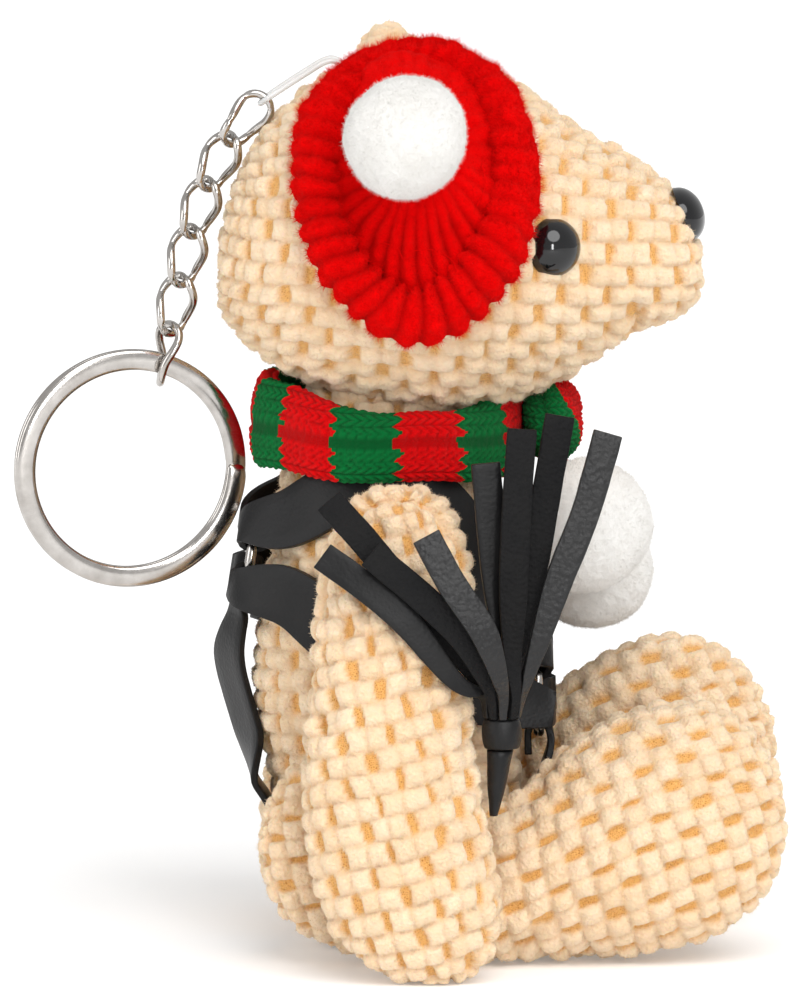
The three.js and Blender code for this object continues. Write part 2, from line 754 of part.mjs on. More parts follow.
const legRight = mirrored(plushLoft("x", LEG_STATIONS));
const armLeft = plushLoft("z", ARM_STATIONS);
add("right_leg", legRight, PLUSH);
add("right_arm", mirrored(armLeft), PLUSH);
add("left_arm", armLeft, PLUSH);
const legLeft = plushLoft("x", LEG_STATIONS);
legLeft.translate(-HIP[0], 0, -HIP[2]);
legLeft.rotateY(-rad(LEFT_LEG_RAISE));
legLeft.translate(HIP[0], 0, HIP[2]);
add("left_leg", legLeft, PLUSH);

add("ear_left", cut(earLeft, headCutter), PLUSH);
add("ear_right", cut(earRight, headCutter), PLUSH);

for (const { name, seat, direction, size } of faceFittings) {
  add(name, aim(button(...size), vec(...seat).addScaledVector(direction, GAP), direction), EYE_PLASTIC);
  add(name + "_washer", aim(washer(), seat, direction), WASHER_PLASTIC);
}

const earCutter = grown(earRight, GAP);
add("hat_crown", cut(crownShell, headCutter, earCutter), RED_KNIT);
add("hat_brim", cut(brimRoll(BRIM_RADIUS), headCutter, grown(crownShell, GAP), earCutter), RED_KNIT);
const hatPompom = ellipsoid(HAT_POMPOM_CENTRE, [HAT_POMPOM_RADIUS, HAT_POMPOM_RADIUS, HAT_POMPOM_RADIUS]);
add("hat_pompom", cut(hatPompom, grown(crownShell, GAP)), POMPOM);

add("scarf_wrap", cut(scarfShell, headCutter), SCARF_KNIT);
add("scarf_knot", cut(knotShell, headCutter, grown(scarfShell, GAP)), SCARF_KNIT);
const tails = [
  { side: "right", pompom: POMPOM_RIGHT, top: [19.6, -3.4, 60.6] },
  { side: "left", pompom: POMPOM_LEFT, top: [19.8, 3, 60.6] },
];
for (const { side, pompom, top } of tails) {
  const tail = scarfTail(pompom, top);
  const ball = ellipsoid(pompom.centre, [pompom.radius, pompom.radius, pompom.radius]);
  add("scarf_tail_" + side, tail, SCARF_KNIT);
  add("scarf_pompom_" + side, cut(ball, grown(tail, GAP)), POMPOM);
}

add("back_ring", harnessRing(backRing), STEEL);
add("chest_ring", harnessRing(chestRing), STEEL);
for (const [word, side] of [["left", 1], ["right", -1]]) {
  const shoulder = strap(backRing, side * 50, shoulderRoute(side), chestRing, side * 40);
  add("shoulder_strap_" + word, shoulder, BLACK_LEATHER);
  const rib = strap(backRing, side * 115, sideRoute(side), chestRing, side * 100);
  add("side_strap_" + word, rib, BLACK_LEATHER);
}
add("spine_strap", spineStrap(), BLACK_LEATHER);

whiskBinding.translate(...BINDING);
add("whisk_binding", positionsOnly(whiskBinding), BLACK_LEATHER);
add("whisk_handle", whiskHandle(), BLACK_LEATHER);
WHISK_STRIPS.forEach((strip, i) => add("whisk_strip_" + (i + 1), whiskStrip(strip), BLACK_LEATHER));

add("hanging_loop", hangingLoop(), CLEAR_LINE);
LINK_HEADINGS.forEach((heading, i) => {
  // The first link's top faces square to the loop, and the last one's bottom to the key ring.
  const last = LINK_HEADINGS.length - 1;
  const ends = i === 0 ? [0, 45] : i === last ? [135, 90] : [-45, 45];
  const link = add("chain_link_" + (i + 1), curbLink(...ends), STEEL);
  link.rotation.y = rad(heading);
  link.position.copy(pivots[i]).lerp(pivots[i + 1], 0.5);
});

const keyRing = new THREE.Group();
keyRing.position.copy(ringPivot);
keyRing.rotation.z = rad(RING_TURN_ANGLE);
const splitRingMesh = new THREE.Mesh(splitRing(), STEEL);
splitRingMesh.name = "key_ring";
splitRingMesh.rotation.x = Math.PI / 2;
const ringMiddle = (RING_OUTER + RING_INNER) / 2;
splitRingMesh.position.x = -ringMiddle * Math.sin(rad(RING_SWING));
splitRingMesh.position.z = -ringMiddle * Math.cos(rad(RING_SWING));
keyRing.add(splitRingMesh);
bear.add(keyRing);

export default bear;
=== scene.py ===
import json
import math

import bmesh
import bpy
import numpy as np
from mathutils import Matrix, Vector
from mathutils.bvhtree import BVHTree

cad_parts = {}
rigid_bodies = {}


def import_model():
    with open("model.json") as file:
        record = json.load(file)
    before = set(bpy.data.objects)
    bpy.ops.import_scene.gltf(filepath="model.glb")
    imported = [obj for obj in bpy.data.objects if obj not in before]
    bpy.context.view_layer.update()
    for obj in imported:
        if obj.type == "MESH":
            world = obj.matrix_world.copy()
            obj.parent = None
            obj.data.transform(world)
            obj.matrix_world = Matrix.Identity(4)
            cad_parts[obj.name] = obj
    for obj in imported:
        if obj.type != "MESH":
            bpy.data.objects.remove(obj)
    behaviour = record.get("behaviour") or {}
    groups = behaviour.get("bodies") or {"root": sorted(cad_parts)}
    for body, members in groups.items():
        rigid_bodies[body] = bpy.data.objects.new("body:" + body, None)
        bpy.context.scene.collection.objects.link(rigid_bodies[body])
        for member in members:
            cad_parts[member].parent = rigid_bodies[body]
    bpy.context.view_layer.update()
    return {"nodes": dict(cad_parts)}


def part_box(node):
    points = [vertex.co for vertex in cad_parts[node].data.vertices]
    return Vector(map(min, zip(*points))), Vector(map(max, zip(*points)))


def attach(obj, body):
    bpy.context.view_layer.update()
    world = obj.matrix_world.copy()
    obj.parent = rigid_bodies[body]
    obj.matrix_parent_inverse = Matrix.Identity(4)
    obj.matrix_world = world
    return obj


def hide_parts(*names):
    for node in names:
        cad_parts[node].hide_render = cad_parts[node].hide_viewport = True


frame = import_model()
MM = 0.001
NODES = frame["nodes"]
rad = math.radians
TURN = 2 * math.pi


# ---------------------------------------------------------------- numbers shared with the CAD, in mm
HAT_MIDDLE = np.array([2.0, 0.0, 87.7])
HAT_LEAN = 32.5
BRIM_HALF_LENGTH, BRIM_HALF_WIDTH, BRIM_REACH, BRIM_RADIUS = 12.3, 17.6, 25.3, 3.1
CROWN_RADII = (13.3, 18.2, 19.6)
CROWN_OVER_PLUSH, CROWN_RIBS = 2.45, 30
HAT_AXIS = np.array([0, -math.cos(rad(HAT_LEAN)), math.sin(rad(HAT_LEAN))])
HAT_ACROSS = np.array([0, math.sin(rad(HAT_LEAN)), math.cos(rad(HAT_LEAN))])
SCARF_MIDDLE = np.array([-1.6, 0.0, 66.0])
SCARF_INNER = (14.4, 13.0)
SCARF_HEIGHT, SCARF_THICKNESS = 10.5, 2.8
SCARF_STRIPE = 27.9  # degrees round the neck
TAIL_TOPS = {"right": (19.6, -3.4, 60.6), "left": (19.8, 3.0, 60.6)}
KNOT_MIDDLE, KNOT_RADII = np.array([19.0, -0.6, 66.4]), np.array([3.7, 6.3, 5.0])
HAT_POMPOM = ((0.9, -30.6, 105.4), 7.6)
SCARF_POMPOMS = {"right": ((22.9, -7.9, 54.0), 8.4), "left": ((24.0, 7.9, 46.4), 7.9)}
RIGHT_HIP, LEG_LIFT = np.array([-6.0, -15.7, 14.0]), 9.0

# The plush: rows of pillows in pairs, with a slit between the pairs.
PILLOW, SLIT, ROW = 2.75, 1.15, 2.85
PERIOD = 2 * PILLOW + SLIT
TUFT, SUNK = 1.15, 0.5  # height of a pillow, and how far its root lies under the CAD surface
SHOULDER = 1.15  # how far from a slit a pillow reaches its full height
PAIR_DIP, PAIR_WIDTH = 0.36, 0.36  # the crease between the two pillows of a pair
ROW_DIP, ROW_WIDTH = 0.55, 0.34  # the crease between rows
SEAM_DIP = 0.45
RIB, STITCH = 2.6, 1.9  # pitch of the hat's ribs, and of the stitches along them
WALE, COURSE, STITCH_LEAN = 1.7, 1.25, 1.4  # the scarf's stitches: width, length, and how far a V leans
SCARF_RADIUS = 16.6  # from the neck's middle to the stitches
ROOM_STEP = 0.25  # how fast the pile rises again beside a strap, in mm from a point to the next


# ---------------------------------------------------------------- noise on arrays of points, in mm
def hashed(i, j, k, seed):
    """A number from -1 to 1 for each cell, the same each run."""
    n = (i * 374761393 + j * 668265263 + k * 1440662683 + seed * 1274126177) & 0xFFFFFFFF
    n = ((n ^ (n >> 13)) * 1274126177) & 0xFFFFFFFF
    n = ((n ^ (n >> 15)) * 2246822519) & 0xFFFFFFFF
    return ((n ^ (n >> 16)) & 0xFFFF) / 32767.5 - 1.0


def noise(points, size, seed=0):
    """Smooth noise from -1 to 1 with features about size across."""
    q = points / size + 500.0
    cell = np.floor(q).astype(np.int64)
    f = q - cell
    f = f * f * (3 - 2 * f)
    total = 0.0
    for a in (0, 1):
        for b in (0, 1):
            for c in (0, 1):
                weight = (
                    (f[..., 0] if a else 1 - f[..., 0])
                    * (f[..., 1] if b else 1 - f[..., 1])
                    * (f[..., 2] if c else 1 - f[..., 2])
                )
                total = total + weight * hashed(cell[..., 0] + a, cell[..., 1] + b, cell[..., 2] + c, seed)
    return total


def ease(x, low, high):
    """A smooth step from 0 at low to 1 at high."""
    t = np.clip((x - low) / (high - low), 0, 1)
    return t * t * (3 - 2 * t)


# ---------------------------------------------------------------- meshes from grids of points, in mm
def lengths(vectors):
    return np.linalg.norm(vectors, axis=-1, keepdims=True)


def read(items, key, width=3, kind=float):
    """A property of all the items of a mesh, a row each."""
    values = np.zeros(len(items) * width, kind)
    items.foreach_get(key, values)
    return values.reshape(-1, width)


def triangles_of(mesh):
    mesh.calc_loop_triangles()
    return read(mesh.loop_triangles, "vertices", 3, np.int32)


def normals_of(grid, wrap_rows=False):
    """Unit normals of a grid whose columns run round a closed ring."""
    if wrap_rows:
        along = np.roll(grid, -1, 0) - np.roll(grid, 1, 0)
    else:
        along = np.gradient(grid, axis=0)
    round_ = np.roll(grid, -1, 1) - np.roll(grid, 1, 1)
    n = np.cross(round_, along)
    n /= np.maximum(lengths(n), 1e-12)
    if ((grid - grid.mean(1, keepdims=True)) * n).sum() < 0:
        n = -n
    return n


def round_turn(count):
    """Angles evenly round a full turn."""
    return np.linspace(0, TURN, count, endpoint=False)


def tips(grid):
    """The middles of a grid's first and last rings."""
    return grid[0].mean(0), grid[-1].mean(0)


def ball(rows, columns, top, bottom):
    """Angles down from the pole and round it, as two grids."""
    down = np.linspace(top, math.pi - bottom, rows)
    return np.meshgrid(down, round_turn(columns), indexing="ij")


def unit_ball(A, P):
    return np.stack([np.sin(A) * np.cos(P), np.sin(A) * np.sin(P), np.cos(A)], -1)


def power(x, exponent):
    """A wave made squarer, its sign kept."""
    return np.sign(x) * np.abs(x) ** exponent


def catmull_rom(p0, p1, p2, p3, f):
    return 0.5 * (
        2 * p1
        + (p2 - p0) * f
        + (2 * p0 - 5 * p1 + 4 * p2 - p3) * f * f
        + (3 * p1 - p0 - 3 * p2 + p3) * f**3
    )


def grid_object(name, grid, values=None, wrap_rows=False, ends=None):
    """A closed mesh from rings of points. ends are the two end points, or None for flat caps."""
    rows, columns = grid.shape[:2]
    points = grid.reshape(-1, 3)
    last = rows if wrap_rows else rows - 1
    i, j = np.meshgrid(np.arange(last), np.arange(columns), indexing="ij")
    k, nxt = (i + 1) % rows, (j + 1) % columns
    quads = np.stack(
        [i * columns + j, i * columns + nxt, k * columns + nxt, k * columns + j], -1
    ).reshape(-1, 4)
    faces = quads.tolist()
    extra = []
    if not wrap_rows:
        ring = list(range(columns))
        if ends is None:
            faces.append(ring[::-1])
            faces.append([(rows - 1) * columns + c for c in ring])
        else:
            extra = list(ends)
            first, end = len(points), len(points) + 1
            for c in ring:
                d = (c + 1) % columns
                faces.append([d, c, first])
                faces.append([(rows - 1) * columns + c, (rows - 1) * columns + d, end])
    if extra:
        points = np.concatenate([points, np.array(extra)])
    mesh = bpy.data.meshes.new(name)
    mesh.from_pydata((points * MM).tolist(), [], faces)
    for key, value in (values or {}).items():
        flat = value.reshape(-1)
        if extra:
            flat = np.concatenate([flat, [value[0].mean(), value[-1].mean()]])
        mesh.attributes.new(key, "FLOAT", "POINT").data.foreach_set("value", flat.astype(np.float32))
    return finished(name, mesh)


def linked(name, data):
    obj = bpy.data.objects.new(name, data)
    bpy.context.scene.collection.objects.link(obj)
    return obj


def finished(name, mesh):
    """Turns the faces outwards, shades them smooth, and links the object."""
    mesh.update()
    a, b, c = np.moveaxis(read(mesh.vertices, "co")[triangles_of(mesh)], 1, 0)
    if (a * np.cross(b, c)).sum() < 0:
        mesh.flip_normals()
    mesh.polygons.foreach_set("use_smooth", [True] * len(mesh.polygons))
    return linked(name, mesh)


def quads_of(node, flat, crease):
    """A CAD node's faces joined where they meet under flat degrees, with its sharp edges creased."""
    bm = bmesh.new()
    bm.from_mesh(NODES[node].data)
    bmesh.ops.remove_doubles(bm, verts=bm.verts, dist=2e-6)
    bmesh.ops.join_triangles(
        bm, faces=bm.faces, angle_face_threshold=rad(flat), angle_shape_threshold=rad(100)
    )
    if crease is not None:
        layer = bm.edges.layers.float.new("crease_edge")
        for e in bm.edges:
            if len(e.link_faces) == 2 and e.calc_face_angle(0) > rad(crease):
                e[layer] = 1.0
    return bm


def mesh_of(bm, name, *materials):
    mesh = bpy.data.meshes.new(name)
    bm.to_mesh(mesh)
    bm.free()
    mesh.materials.clear()
    for material in materials:
        mesh.materials.append(material)
    return mesh


def rounded(obj, levels):
    modifier = obj.modifiers.new("round", "SUBSURF")
    modifier.levels = modifier.render_levels = levels


def smooth_copy(node, name, levels=2, crease=None, grow=0.0):
    """A CAD node's mesh with its facets smoothed: edges sharper than crease degrees stay sharp."""
    bm = quads_of(node, 42, crease)
    obj = finished(name, mesh_of(bm, name))
    rounded(obj, levels)
    applied(obj)
    if grow:
        displaced(obj, lambda p: grow)
    return obj


def applied(obj):
    """The object with its modifiers baked into its mesh, shaded smooth."""
    graph = bpy.context.evaluated_depsgraph_get()
    made = bpy.data.meshes.new_from_object(obj.evaluated_get(graph))
    obj.modifiers.clear()
    old, obj.data = obj.data, made
    bpy.data.meshes.remove(old)
    made.name = obj.name
    made.polygons.foreach_set("use_smooth", [True] * len(made.polygons))
    return obj


def points_of(obj):
    return read(obj.data.vertices, "co") / MM


def move_points(obj, points):
    obj.data.vertices.foreach_set("co", (points * MM).ravel())
    obj.data.update()


def displaced(obj, height):
    """Moves each vertex along its normal by height(points), in mm."""
    p = points_of(obj)
    n = read(obj.data.vertex_normals, "vector")
    move_points(obj, p + n * np.broadcast_to(height(p), (len(p),))[:, None])


# ---------------------------------------------------------------- materials
class Shader:
    """A short way to write a node tree."""

    def __init__(self, name):
        self.material = bpy.data.materials.new(name)
        self.material.use_nodes = True
        self.tree = self.material.node_tree
        self.tree.nodes.clear()
        self.out = self.node("ShaderNodeOutputMaterial")
        self.surface = self.node("ShaderNodeBsdfPrincipled")
        self.tree.links.new(self.surface.outputs[0], self.out.inputs[0])

    def node(self, kind, **values):
        made = self.tree.nodes.new(kind)
        for key, value in values.items():
            setattr(made, key, value)
        return made

    def link(self, source, node, key):
        self.tree.links.new(source, node.inputs[key])

    def set(self, **values):
        for key, value in values.items():
            self.surface.inputs[key.replace("_", " ")].default_value = value
        return self

    def place(self):
        return self.node("ShaderNodeTexCoord").outputs["Object"]

    def attribute(self, key):
        return self.node("ShaderNodeAttribute", attribute_name=key).outputs["Fac"]

    def noise(self, size, detail=4.0, rough=0.6):
        made = self.node("ShaderNodeTexNoise")
        made.inputs["Scale"].default_value = 1 / (size * MM)
        made.inputs["Detail"].default_value = detail
        made.inputs["Roughness"].default_value = rough
        self.link(self.place(), made, "Vector")
        return made.outputs["Fac"]

    def cells(self, size, feature="F1"):
        made = self.node("ShaderNodeTexVoronoi", feature=feature)
        made.inputs["Scale"].default_value = 1 / (size * MM)
        self.link(self.place(), made, "Vector")
        return made.outputs["Distance"]

    def math(self, operation, a, b):
        made = self.node("ShaderNodeMath", operation=operation)
        for k, value in enumerate((a, b)):
            if isinstance(value, (int, float)):
                made.inputs[k].default_value = value
            else:
                self.tree.links.new(value, made.inputs[k])
        return made.outputs[0]

    def plus(self, a, b):
        return self.math("ADD", a, b)

    def times(self, a, b):
        return self.math("MULTIPLY", a, b)

    def ramp(self, factor, *stops):
        made = self.node("ShaderNodeValToRGB")
        elements = made.color_ramp.elements
        while len(elements) < len(stops):
            elements.new(0.5)
        for element, (at, colour) in zip(elements, stops):
            element.position = at
            element.color = (*colour, 1.0)
        self.link(factor, made, "Fac")
        return made.outputs["Color"]

    def mix(self, factor, a, b, blend="MIX"):
        made = self.node("ShaderNodeMix", data_type="RGBA", blend_type=blend)
        for key, value in ((0, factor), (6, a), (7, b)):
            if isinstance(value, tuple):
                made.inputs[key].default_value = (*value, 1.0)
            elif isinstance(value, (int, float)):
                made.inputs[key].default_value = value
            else:
                self.tree.links.new(value, made.inputs[key])
        return made.outputs[2]

    def colour(self, value):
        self.link(value, self.surface, "Base Color")
        return self

    def roughness(self, factor, least, more):
        value = self.plus(least, self.times(factor, more))
        self.link(value, self.surface, "Roughness")

    def bump(self, height, distance, strength=1.0):
        made = self.node("ShaderNodeBump")
        made.inputs["Strength"].default_value = strength
        made.inputs["Distance"].default_value = distance * MM
        self.link(height, made, "Height")
        return made.outputs["Normal"]

    def normal(self, value):
        self.link(value, self.surface, "Normal")
        return self


def plush_material():
    s = Shader("plush_chenille")
    gap, cell = s.attribute("gap"), s.attribute("cell")
    pile = s.noise(0.42, 5.0, 0.7)
    tint = s.ramp(
        s.plus(s.times(s.noise(9.0, 2.0), 0.6), s.times(cell, 0.4)),
        (0.25, (0.85, 0.64, 0.42)),
        (0.75, (0.93, 0.755, 0.55)),
    )
    shade = s.mix(s.times(pile, 0.5), tint, (0.8, 0.56, 0.34))
    mesh = s.ramp(s.cells(0.27, "DISTANCE_TO_EDGE"), (0.02, (0.84, 0.47, 0.15)), (0.45, (0.5, 0.19, 0.035)))
    # The golden backing mesh shows in the open slits as its own colour; the same mix lays painted shade in
    # the creases and seams.
    s.colour(s.mix(s.math("POWER", gap, 1.25), shade, mesh))
    lumps = s.plus(pile, s.times(s.cells(0.5), 0.55))
    s.normal(s.bump(lumps, 0.34, 1.0))
    s.set(Roughness=0.96, Sheen_Weight=0.3, Sheen_Roughness=0.55, Sheen_Tint=(1.0, 0.93, 0.8, 1.0))
    s.set(Specular_IOR_Level=0.1, Subsurface_Weight=0.25, Subsurface_Scale=0.0012)
    s.set(Subsurface_Radius=(1.0, 0.55, 0.25))
    return s.material


def knit_material(name, stops, key, sheen, tint):
    """Brushed yarn: fine fibres over the stitches that the mesh carries, with painted shade in the hollows
    between them.
    """
    s = Shader(name)
    fibres = s.noise(0.28, 6.0, 0.75)
    if key:
        base = s.ramp(s.attribute(key), (0.45, stops[0]), (0.55, stops[1]))
    else:
        base = s.ramp(s.noise(5.0, 3.0), (0.3, stops[0]), (0.7, stops[1]))
    # painted shade: the hollows between ribs and stitches are mixed towards a darker copy of the yarn
    low = s.attribute("gap")
    dark = s.mix(1.0, base, (0.4, 0.3, 0.3), "MULTIPLY")
    shaded = s.mix(s.times(low, 0.7), base, dark)
    s.colour(s.mix(s.times(fibres, 0.25), shaded, dark))
    s.normal(s.bump(s.plus(fibres, s.noise(0.8, 3.0)), 0.34, 1.0))
    s.set(Roughness=0.95, Sheen_Weight=sheen, Sheen_Roughness=0.5, Specular_IOR_Level=0.04)
    s.set(Sheen_Tint=(*tint, 1.0))
    return s.material


def pompom_material():
    s = Shader("pompom_pile")
    pile = s.noise(0.3, 6.0, 0.8)
    s.colour(
        s.ramp(
            s.plus(s.times(pile, 0.5), s.times(s.noise(3.5, 3.0), 0.5)),
            (0.3, (0.72, 0.7, 0.66)),
            (0.62, (0.82, 0.805, 0.775)),
        )
    )
    s.normal(s.bump(pile, 0.3, 0.8))
    s.set(Roughness=0.98, Sheen_Weight=0.5, Sheen_Roughness=0.5, Specular_IOR_Level=0.1)
    return s.material


def leather_material(name, grain, depth, gloss, shine=0.24):
    """Black coated fabric: cells of grain, fine pores, worn lighter at random."""
    s = Shader(name)
    cells = s.cells(grain, "SMOOTH_F1")
    fine = s.noise(grain * 0.5, 4.0)
    wear = s.noise(6.0, 4.0)
    s.colour(s.ramp(wear, (0.3, (0.005, 0.005, 0.0055)), (0.75, (0.011, 0.0105, 0.0105))))
    s.roughness(wear, gloss - 0.08, 0.2)
    s.normal(s.bump(s.plus(cells, s.times(fine, 0.5)), depth, 0.7))
    s.set(Specular_IOR_Level=shine)
    return s.material


def backing_material():
    """The grey-brown cut edge of coated fabric."""
    s = Shader("leather_backing")
    threads = s.noise(0.22, 5.0, 0.8)
    s.colour(s.ramp(threads, (0.35, (0.04, 0.034, 0.03)), (0.7, (0.24, 0.2, 0.165))))
    s.normal(s.bump(threads, 0.15, 0.8))
    s.set(Roughness=0.9, Sheen_Weight=0.2)
    return s.material


def glossy_material():
    s = Shader("eye_gloss")
    s.colour(s.ramp(s.noise(2.0, 3.0), (0.3, (0.003, 0.003, 0.0035)), (0.8, (0.006, 0.006, 0.007))))
    s.normal(s.bump(s.noise(0.9, 3.0), 0.012, 0.25))
    s.roughness(s.noise(1.2, 4.0), 0.06, 0.06)
    s.set(Coat_Weight=0.3, Coat_Roughness=0.04, Specular_IOR_Level=0.4)
    return s.material


def washer_material():
    s = Shader("washer_moulded")
    s.colour(s.ramp(s.noise(1.5, 3.0), (0.3, (0.72, 0.72, 0.7)), (0.8, (0.8, 0.8, 0.78))))
    s.normal(s.bump(s.noise(0.3, 4.0), 0.02, 0.4))
    s.set(Roughness=0.5)
    return s.material


def steel_material():
    s = Shader("nickel_plate")
    scratches = s.noise(0.35, 5.0, 0.7)
    s.colour(s.ramp(s.noise(3.0, 3.0), (0.3, (0.4, 0.375, 0.35)), (0.75, (0.58, 0.555, 0.53))))
    s.roughness(scratches, 0.1, 0.12)
    s.normal(s.bump(scratches, 0.01, 0.3))
    s.set(Metallic=1.0)
    return s.material


def line_material():
    s = Shader("clear_nylon")
    s.colour(s.ramp(s.noise(1.5, 2.0), (0.3, (0.86, 0.88, 0.88)), (0.8, (0.93, 0.94, 0.94))))
    s.normal(s.bump(s.noise(0.6, 2.0), 0.02, 0.3))
    s.set(Roughness=0.2, Transmission_Weight=0.45, IOR=1.5)
    return s.material


PLUSH = plush_material()
RED_KNIT = knit_material(
    "hat_rib_knit", ((0.78, 0.0, 0.0005), (0.9, 0.0005, 0.001)), None, 0.3, (1.0, 0.03, 0.02)
)
SCARF_KNIT = knit_material(
    "scarf_jersey", ((0.001, 0.185, 0.04), (0.82, 0.001, 0.003)), "stripe", 0.05, (1.0, 0.9, 0.8)
)
POMPOM = pompom_material()
LEATHER = leather_material("leather_smooth", 0.42, 0.05, 0.42)
PEBBLED = leather_material("leather_pebbled", 0.62, 0.2, 0.34, 0.4)
WOVEN = leather_material("leather_knit_back", 0.5, 0.32, 0.72, 0.16)
BACKING = backing_material()
GLOSS = glossy_material()
WASHER = washer_material()
STEEL = steel_material()
LINE = line_material()


SPIKE_CORNERS = (0, 2.094, 4.189)  # thirds of a turn
GROUND_GAP = 0.3  # no fibres where the ground is more open than this
FIBRE_ROOT = 0.1  # how far a fibre starts under the surface


def fibres(source, body, slot, material, count, length, radius, seed):
    """Short loose fibres that stand up from a soft piece, as thin spikes."""
    tri = triangles_of(source.data)
    a, b, c = np.moveaxis(points_of(source)[tri], 1, 0)
    cross = np.cross(b - a, c - a)
    area = np.linalg.norm(cross, axis=1)
    if "gap" in source.data.attributes:
        gap = read(source.data.attributes["gap"].data, "value", 1)[:, 0]
        area = area * (gap[tri].mean(1) < GROUND_GAP)
    random = np.random.default_rng(seed)
    pick = random.choice(len(tri), count, p=area / area.sum())
    u, v = random.random((2, count, 1))
    over = u + v > 1
    u, v = np.where(over, 1 - u, u), np.where(over, 1 - v, v)
    root = a[pick] + u * (b - a)[pick] + v * (c - a)[pick]
    n = cross[pick] / np.maximum(lengths(cross[pick]), 1e-9)
    way = n + 0.75 * random.normal(size=(count, 3)) * 0.7
    way += 1.2 * np.clip(0.35 - (way * n).sum(1, keepdims=True), 0, 2) * n
    way /= lengths(way)
    side = np.cross(way, random.normal(size=(count, 3)))
    side /= lengths(side)
    other = np.cross(way, side)
    reach = length * (0.45 + 0.75 * random.random((count, 1)))
    foot = root - n * FIBRE_ROOT
    corners = [foot + radius * (side * math.cos(t) + other * math.sin(t)) for t in SPIKE_CORNERS]
    points = np.stack([*corners, root + way * reach], 1).reshape(-1, 3)
    points[:, 2] = np.maximum(points[:, 2], 0.0)
    k = np.arange(count)[:, None, None] * 4
    faces = (k + np.array([[0, 1, 3], [1, 2, 3], [2, 0, 3]])[None]).reshape(-1, 3)
    name = source.name.rsplit("_", 1)[0] + "_fuzz"
    made = bpy.data.meshes.new(name)
    made.from_pydata((points * MM).tolist(), [], faces.tolist())
    made.update()
    return place(linked(name, made), body, slot, material)


def place(obj, body, slot, material, *nodes):
    """The usual last steps for a piece."""
    if not obj.data.materials:
        obj.data.materials.append(material)
    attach(obj, body)
    if nodes:
        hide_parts(*nodes)
    return obj


# ---------------------------------------------------------------- plush parts
def tree_of(*nodes):
    points, faces = [], []
    for node in nodes:
        mesh = NODES[node].data
        start = len(points)
        points += [v.co / MM for v in mesh.vertices]
        faces += [[start + i for i in p.vertices] for p in mesh.polygons]
    return BVHTree.FromPolygons(points, faces)


FAR = 90.0  # further out than any solid reaches


def far_hit(tree, origin, direction):
    """The outermost place of a solid that a ray from the origin outwards meets."""
    met = tree.ray_cast(Vector(origin + direction * FAR), Vector(-direction), 2 * FAR)[0]
    return None if met is None else np.array(met)


def softened(r):
    """A grid of radii with its facets smoothed out."""
    for _ in range(2):
        r = (np.roll(r, 1, 1) + 2 * r + np.roll(r, -1, 1)) / 4
        r[1:-1] = (r[:-2] + 2 * r[1:-1] + r[2:]) / 4
    return r


def sampled(node, axis, steps, sides):
    """The outer surface of a CAD solid: rings of points from one end of its long axis to the other.

    Column 0 looks along +Z (axis x) or +X (axis z); a quarter of the way round is +Y."""
    tree = tree_of(node)
    low, high = (np.array(c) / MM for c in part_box(node))
    main = {"x": np.array([1.0, 0, 0]), "z": np.array([0, 0, 1.0])}[axis]
    first = {"x": np.array([0, 0, 1.0]), "z": np.array([1.0, 0, 0])}[axis]
    left = np.array([0, 1.0, 0])
    a, b = low @ main, high @ main
    centre = (low + high) / 2
    share = 0.22  # part of the length at each end that the pole's fan of rays covers
    spine = []
    at = np.linspace(a + (b - a) * 0.06, b - (b - a) * 0.06, 25)
    for x in at:
        c = centre + main * (x - centre @ main)
        for _ in range(3):
            for d in (first, left):
                p, q = far_hit(tree, c, d), far_hit(tree, c, -d)
                if p is not None and q is not None:
                    c = c + d * (((p + q) / 2 - c) @ d)
        spine.append(c)
    spine = np.array(spine)
    for _ in range(4):
        spine[1:-1] = (spine[:-2] + 2 * spine[1:-1] + spine[2:]) / 4
    r = np.zeros((steps + 1, sides))
    origins = np.zeros((steps + 1, 3))
    dirs = np.zeros((steps + 1, sides, 3))
    for i in range(steps + 1):
        s = i / steps
        tilt = -math.pi / 2 + math.pi * s
        run = s - math.sin(TURN * s) / TURN * 0.55
        x = a + (b - a) * (share + (1 - 2 * share) * run)
        o = np.array([np.interp(x, at, spine[:, k]) for k in range(3)])
        o = o + main * (x - o @ main)
        origins[i] = o
        for j in range(sides):
            angle = TURN * j / sides
            around = first * math.cos(angle) + left * math.sin(angle)
            dirs[i, j] = d = main * math.sin(tilt) + around * math.cos(tilt)
            p = far_hit(tree, o, d)
            r[i, j] = np.nan if p is None else (p - o) @ d
    r[0], r[-1] = np.nanmean(r[0]), np.nanmean(r[-1])
    r = np.where(np.isnan(r), np.nanmean(r, axis=1, keepdims=True), r)
    stack = [np.roll(np.roll(r, di, 0), dj, 1) for di in (-2, -1, 0, 1, 2) for dj in (-2, -1, 0, 1, 2)]
    median = np.median(stack, axis=0)
    median[:2], median[-2:] = r[:2], r[-2:]
    r = np.maximum(r, median - 0.5)
    low = softened(r)
    r = low + softened(r - low)
    r[0], r[-1] = r[0].mean(), r[-1].mean()
    return origins[:, None, :] + dirs * r[..., None]


def cubic(grid, count, closed):
    """Catmull-Rom resampling along axis 0. An open grid's ends are poles, passed straight through."""
    n = len(grid)
    if closed:
        t = np.arange(count) * n / count
        pick = lambda i: grid[i % n]
    else:
        t = np.linspace(0, n - 1, count)
        half = grid.shape[1] // 2
        over = np.concatenate([np.roll(grid[1:2], half, 1), grid, np.roll(grid[-2:-1], half, 1)])
        over = np.concatenate([over[:1], over, over[-1:]])
        pick = lambda i: over[np.clip(i + 2, 0, len(over) - 1)]
    i = np.minimum(np.floor(t).astype(int), n - 1 if closed else n - 2)
    f = (t - i).reshape(-1, *[1] * (grid.ndim - 1))
    return catmull_rom(pick(i - 1), pick(i), pick(i + 1), pick(i + 2), f)


MOST_POINTS = 90000


